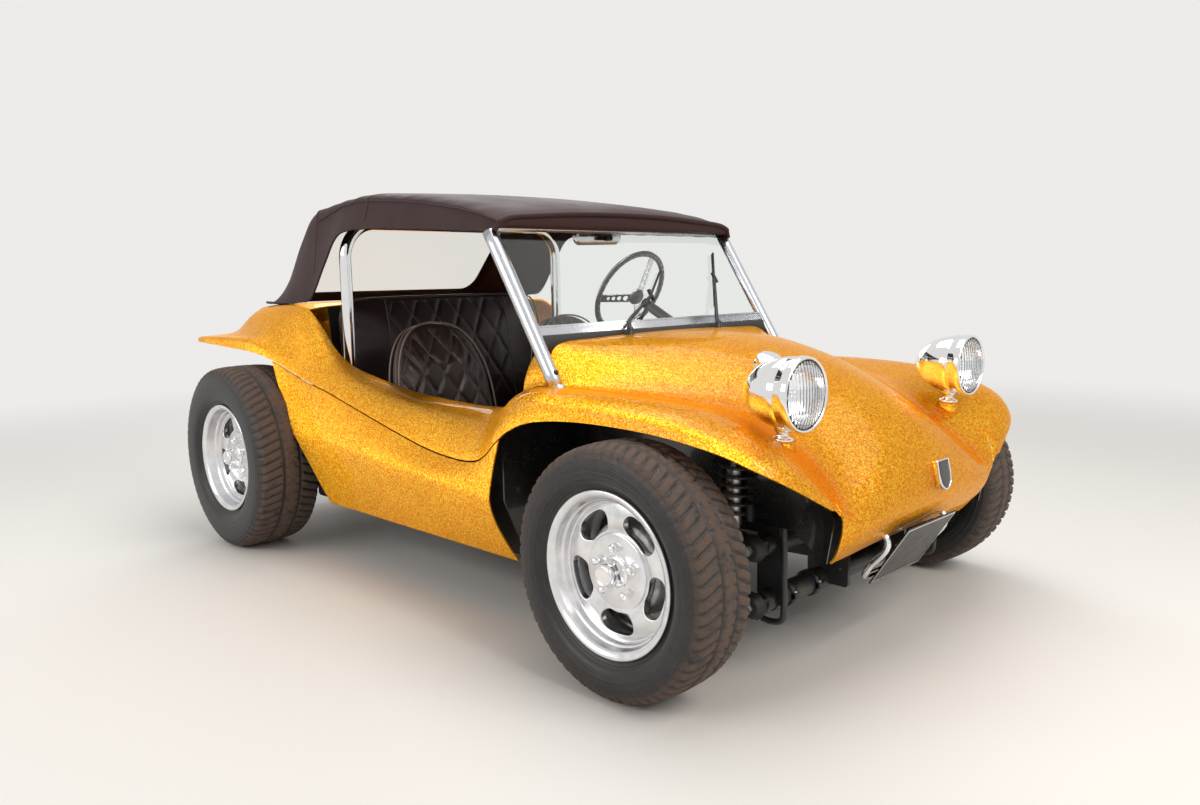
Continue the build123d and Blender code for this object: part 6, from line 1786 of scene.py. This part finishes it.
band = [(42.5, 152.5), (42.5, 175.5), (46.5, 175.5), (46.5, 152.5), (42.5, 152.5)]
light.append(lathe("rim_plate", band, HUB, TOWARDS, 120))
for k in range(6):
    t = k * math.pi / 3 + 0.2
    place = on_wheel([0.0245 * math.cos(t), 0.0245 * math.sin(t), 0.0115])
    light.append(lathe("hub_screw", [(0, 0), (0, 3.5), (2, 3.2), (2.6, 0)], place, TOWARDS, 10))
finish_piece(joined("steering_wheel_spokes", light), ALLOY, ("steering_wheel",),
             "steering_wheel")
around = np.linspace(0, 2 * np.pi, 144, endpoint=False)[:, None]
dark = []
for front in (1, -1):
    t = np.linspace(0, np.pi, 11)
    across = RIM_MIDDLE + 0.0102 * np.cos(t)
    out = RIM_OUT + front * (0.002 + 0.0068 * np.sin(t))
    ring_points = np.stack([across * np.cos(around), across * np.sin(around),
                            np.broadcast_to(out, (144, 11))], -1)
    dark.append(solid("grip", on_wheel(ring_points), wrap_u=True))
dark.append(lathe("horn_button", [(11.5, 0), (11.5, 17.5), (17, 17.5), (19.5, 14), (21, 8), (21.5, 0)],
                  HUB, TOWARDS, 40))
dark.append(lathe("boss", [(-6, 0), (-6, 24), (0, 26), (5.5, 31.5), (6, 32), (6, 0)],
                  HUB, TOWARDS, 40))
finish_piece(joined("steering_wheel_grip", dark), BLACK_PLASTIC, body="steering_wheel")
studs = []
for k in range(36):
    t = k * math.pi / 18 + 0.04
    for front in (1, -1):
        place = on_wheel([RIM_MIDDLE * math.cos(t), RIM_MIDDLE * math.sin(t), RIM_OUT + front * 0.0086])
        studs.append(lathe("rivet", [(-1, 0), (-1, 2.6), (0.4, 2.6), (1.2, 1.6), (1.4, 0)], place,
                           TOWARDS * front, 8))
finish_piece(joined("steering_wheel_rivets", studs), CHROME, body="steering_wheel")
print("steering wheel pieces 3")

# %% [markdown]
# ## Front axle details
# Ribbed rubber boots close the ends of the two torsion tubes. A bent guard bar runs down in front
# of them from the damper tower, and clamps with bolts hold the lower tube.

# %% Boots, guard bars and clamps
BEAM_X = 1.275
OUTER_BOOT = [(0, 0), (0, 34), (6, 36), (10, 31), (14, 33), (18, 28), (23, 29), (27, 24),
              (30, 0)]
boots, guards, fasteners = [], [], []
for side in (1, -1):
    out = np.array([0.0, side, 0.0])
    for z in (0.19, 0.34):
        boots.append(lathe("boot", OUTER_BOOT, (BEAM_X, side * 0.462, z), out, 32))
        fasteners.append(lathe("boot_nut", [(0, 0), (0, 15), (12, 15), (13, 9), (20, 9), (21, 0)],
                               (BEAM_X, side * 0.492, z), out, 6, smooth=False))
    path = np.array([(1.25, 0.412, 0.47), (1.285, 0.412, 0.452), (1.322, 0.412, 0.41), (1.328, 0.412, 0.36),
                     (1.328, 0.412, 0.25), (1.328, 0.412, 0.17), (1.318, 0.412, 0.146), (1.29, 0.412, 0.138),
                     (1.262, 0.412, 0.14)])
    path[:, 1] *= side
    guards.append(capped_tube("guard_bar", smooth_line(path, 6), 0.0085, 14))
    for y in (0.33, 0.215):
        clamp = lathe("clamp", [(-11, 28), (-11, 36), (11, 36), (11, 28), (-11, 28)],
                      (BEAM_X, side * y, 0.19), (0, 1, 0), 32)
        guards.append(clamp)
        guards.append(rounded_bar("clamp_lug", (BEAM_X + 0.03, side * y - 0.011, 0.19),
                                  (BEAM_X + 0.03, side * y + 0.011, 0.19), (1, 0, 0), 0.022, 0.016, 0.002))
        fasteners.append(lathe("clamp_bolt", [(0, 0), (0, 7), (5, 7), (6, 0)],
                               (BEAM_X + 0.032, side * y, 0.198), (0, 0, 1), 6, smooth=False))
finish_piece(joined("beam_boots", boots), BLACK_RUBBER)
finish_piece(joined("beam_guards_and_clamps", guards), CHASSIS_BLACK)
finish_piece(joined("beam_nuts", fasteners), STEEL)
print("beam parts", len(boots + guards + fasteners))

# %% Front damper springs
# A coil at angle t has radius 36 mm round the damper and rises evenly, t / 2 pi times its pitch.
springs = []
for x, y, low_z, high_z, turns in ((1.203, 0.456, 0.42, 0.56, 6), (REAR_X - 0.075, 0.5, 0.38, 0.64, 8)):
    t = np.linspace(0, turns * 2 * np.pi, turns * 24 + 1)
    coil = np.stack([x + 0.033 * np.cos(t), y + 0.033 * np.sin(t), low_z + (high_z - low_z) * t / t[-1]], -1)
    springs.append(capped_tube("spring", coil, 0.0048, 8))
    springs.append(capped_tube("spring", mirrored(coil), 0.0048, 8))
finish_piece(joined("damper_springs", springs), CHASSIS_BLACK)
print("front details 4")

# %% [markdown]
# ## Engine and exhaust
# Behind the rear axle hangs a flat four with air cooling: a ribbed case, two finned barrels and a
# head on each side, a sheet-metal fan housing over it and a belt between the two pulleys. Under the
# tail a round silencer lies across the car.

# %% Engine case, barrels and heads
ENGINE_X = -1.249
CRANK_Z = 0.332
FAN_Z = 0.487
case = [rounded_bar("case", (ENGINE_X - 0.138, 0, CRANK_Z), (ENGINE_X + 0.132, 0, CRANK_Z), (0, 1, 0), 0.236,
                    0.25, 0.035)]
for k in range(7):
    x = ENGINE_X - 0.108 + 0.036 * k
    case.append(rounded_bar("rib", (x, -0.105, 0.205), (x, 0.105, 0.205), (0, 0, 1), 0.026, 0.005, 0.002))
fins = [(118, 0), (118, 45)]
for k in range(11):
    at = 122 + 12.5 * k
    fins += [(at, 45), (at + 1, 56.5), (at + 3.5, 56.5), (at + 4.5, 45)]
fins += [(262, 45), (262, 0)]
for side in (1, -1):
    for x in (ENGINE_X - 0.06, ENGINE_X + 0.06):
        case.append(lathe("barrel", fins, (x, 0, 0.352), (0, side, 0), 40, smooth=False))
    case.append(rounded_bar("head", (ENGINE_X, side * 0.258, 0.35), (ENGINE_X, side * 0.312, 0.35), (1, 0, 0),
                            0.245, 0.135, 0.014))
    for k in range(5):
        z = 0.3 + 0.025 * k
        case.append(rounded_bar("head_fin", (ENGINE_X - 0.126, side * 0.285, z),
                                (ENGINE_X + 0.126, side * 0.285, z), (0, 1, 0), 0.062, 0.004, 0.0015))
case.append(lathe("inlet", [(0, 0), (0, 32), (20, 30), (50, 28), (55, 38), (75, 38), (78, 26),
                            (110, 26), (110, 0)], (ENGINE_X + 0.06, 0, 0.455), (0, 0, 1), 32))
finish_piece(joined("engine_castings", case), CAST, ("engine",))
print("engine castings", len(case))

# %% Fan housing, covers, pulleys and belt
tin = []
housing = [(-0.089, 0.0), (-0.012, 0.0), (-0.003, 0.003), (0.0, 0.012), (0.0, 0.083), (-0.003, 0.092),
           (-0.012, 0.095), (-0.089, 0.095)]
middle = np.array([-1.269, 0.0, 0.548])
rings = [middle + pill(ACROSS, [0, 0, 1], grow, 0.165, 0.105, 0.09) - [depth, 0, 0] for grow,
         depth in housing]
tin.append(solid("fan_housing", capped(rings)))
for side in (1, -1):
    tin.append(rounded_bar("duct", (ENGINE_X, side * 0.09, 0.492), (ENGINE_X, side * 0.262, 0.424), (1, 0, 0),
                           0.256, 0.01, 0.004))
    tin.append(rounded_bar("duct_side", (ENGINE_X - 0.126, side * 0.11, 0.44),
                           (ENGINE_X - 0.126, side * 0.262, 0.395), (0, 0, 1), 0.085, 0.004, 0.0015))
    tin.append(rounded_bar("cover", (ENGINE_X, side * 0.312, 0.35), (ENGINE_X, side * 0.346, 0.35), (1, 0, 0),
                           0.215, 0.09, 0.02))
tin.append(lathe("air_filter", [(0, 0), (0, 78), (4, 82), (52, 82), (58, 78), (62, 60), (62, 0)],
                 (ENGINE_X + 0.055, 0, 0.563), (0, 0, 1), 48))
tin.append(lathe("generator", [(0, 0), (0, 44), (3, 47), (30, 47), (33, 40), (36, 0)],
                 (-1.362, 0, FAN_Z), (-1, 0, 0), 40))
finish_piece(joined("engine_tinware", tin), GLOSS_BLACK)


def pulley(name, x, z, radius):
    """A V pulley turned about the crank's direction: two flanges, a groove and a hub. Its radius is
    in millimetres."""
    profile = [(-11, 0), (-11, radius), (-8, radius), (-1, radius * 0.86), (1, radius * 0.86), (8, radius),
               (11, radius), (11, radius * 0.8), (5, radius * 0.74), (5, radius * 0.34), (13, radius * 0.3),
               (13, 0)]
    return lathe(name, profile, (x, 0, z), (-1, 0, 0), 56)


wheels = [pulley("crank_pulley", -1.405, CRANK_Z, 74), pulley("generator_pulley", -1.405, FAN_Z, 46)]
for side in (1, -1):
    wire = [(ENGINE_X - 0.09, side * 0.3, 0.35), (ENGINE_X - 0.07, side * 0.348, 0.35),
            (ENGINE_X - 0.04, side * 0.35, 0.372), (ENGINE_X + 0.04, side * 0.35, 0.372),
            (ENGINE_X + 0.07, side * 0.348, 0.35), (ENGINE_X + 0.09, side * 0.3, 0.35)]
    wheels.append(capped_tube("bail", smooth_line(wire, 6), 0.0025, 8))
finish_piece(joined("engine_pulleys_and_bails", wheels), STEEL)
low_r, high_r, drop = 0.068, 0.0425, FAN_Z - CRANK_Z
lean = math.asin((low_r - high_r) / drop)
top = np.linspace(lean, math.pi - lean, 25)
foot = np.linspace(math.pi - lean, 2 * math.pi + lean, 31)
upper = np.stack([high_r * np.cos(top), FAN_Z + high_r * np.sin(top)], -1)
lower = np.stack([low_r * np.cos(foot), CRANK_Z + low_r * np.sin(foot)], -1)
loop = np.concatenate([upper, lower])
belt_path = np.column_stack([np.full(len(loop), -1.405), loop])
finish_piece(piping("fan_belt", belt_path, 0.0055, 8), BLACK_RUBBER)
print("belt points", len(loop))

# %% Silencer and pipes
SILENCER = np.array([-1.486, 0.0, 0.25])
drum = [(-270, 0), (-270, 36), (-264, 48), (-262, 55.5), (-256, 56.5), (-252, 53), (-100, 53),
        (-96, 54.5), (-90, 54.5), (-86, 53), (86, 53), (90, 54.5), (96, 54.5), (100, 53),
        (252, 53), (256, 56.5), (262, 55.5), (264, 48), (270, 36), (270, 0)]
pipes = [lathe("silencer", drum, SILENCER, (0, 1, 0), 56)]
tips = []
for side in (1, -1):
    for x in (-1.329, -1.169):
        bend = smooth_line([(x, side * 0.29, 0.29), (x, side * 0.29, 0.245), (x - 0.03, side * 0.288, 0.222),
                            (-1.4, side * 0.284, 0.22), (-1.455, side * 0.255, 0.236),
                            (-1.486, side * 0.225, 0.25)], 8)
        pipes.append(capped_tube("pipe", bend, 0.0185, 18))
        pipes.append(lathe("flange", [(-4, 0), (-4, 30), (4, 30), (4, 0)], (x, side * 0.29, 0.284), (0, 0, 1),
                           24))
    for y in (0.178, 0.206):
        pipes.append(lathe("clamp", [(-5, 0), (-5, 56), (5, 56), (5, 0)], SILENCER + [0, side * y, 0],
                           (0, 1, 0), 40))
    tip_line = smooth_line([(-1.486, side * 0.12, 0.225), (-1.488, side * 0.12, 0.195),
                            (-1.505, side * 0.12, 0.178), (-1.56, side * 0.12, 0.172)], 8)
    outer = tube(tip_line, 0.0165, 24)
    bore = tube(tip_line[-8:], 0.0142, 24)[::-1]
    tips.append(solid("tail_tip", capped(np.concatenate([outer, bore]))))
finish_piece(joined("silencer_and_pipes", pipes), EXHAUST, ("exhaust",))
finish_piece(joined("tail_pipe_tips", tips), CHROME)
print("exhaust pieces", len(pipes) + len(tips))

# %% Tail lamps
LENS_PROFILE = [(0, 0), (0, 38.5), (10, 38.5), (16, 37), (18, 35), (18.5, 29), (20, 28),
                (21, 20), (22.5, 19), (23.2, 10), (24, 0)]
RING_PROFILE = [(-2, 38), (-2, 46.5), (4, 46.5), (9, 44), (11, 41), (10, 39), (4, 38),
                (-2, 38)]
lights, bezels = [], []
for side in (1, -1):
    place = (-1.3905, side * 0.3, 0.73)
    lights.append(lathe("lens", LENS_PROFILE, place, (-1, 0, 0), 48))
    bezels.append(lathe("bezel", RING_PROFILE, place, (-1, 0, 0), 48))
finish_piece(joined("tail_lamp_lenses", lights), RED_LENS, ("tail_lamps",))
finish_piece(joined("tail_lamp_rings", bezels), CHROME)
print("tail lamps", len(lights))

# %% [markdown]
# ## Finishes for the plain solids that stay

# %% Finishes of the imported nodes
NODE_FINISH = {
    "cockpit_liner": CARPET, "dampers": STEEL, "driver_controls": CHROME, "drop_arm": CHASSIS_BLACK,
    "floorpan": CHASSIS_BLACK, "front_beam": CHASSIS_BLACK, "rear_view_mirror": CHROME,
    "front_compartment": GLOSS_BLACK, "knuckle_left": CHASSIS_BLACK,
    "knuckle_right": CHASSIS_BLACK, "rear_frame": CHASSIS_BLACK, "steering_column": CHASSIS_BLACK,
    "tie_rod_left": STEEL, "tie_rod_right": STEEL, "trailing_arms": CHASSIS_BLACK, "transaxle": CAST,
    "roll_hoop": CHROME, "roof_frame": STEEL, "rear_valance": GOLD,
    "windscreen_frame": POST_ALLOY, "number_plates": BLANK_PLATE,
    "headlamps": CHROME, "headlamp_lenses": LENS, "fuel_filler_cap": CHROME,
    "wipers": BLACK_PLASTIC, "seat_left": SEAT_VINYL, "seat_right": SEAT_VINYL,
    "rear_seat": SEAT_VINYL, "roof_canopy": ROOF_VINYL,
}
for end in ("front", "rear"):
    for side in ("left", "right"):
        NODE_FINISH[f"tyre_{end}_{side}"] = BLACK_RUBBER
        NODE_FINISH[f"wheel_{end}_{side}"] = ALLOY
for name, finish in NODE_FINISH.items():
    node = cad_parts[name]
    node.data.materials.clear()
    node.data.materials.append(finish)
print("node finishes", len(NODE_FINISH))
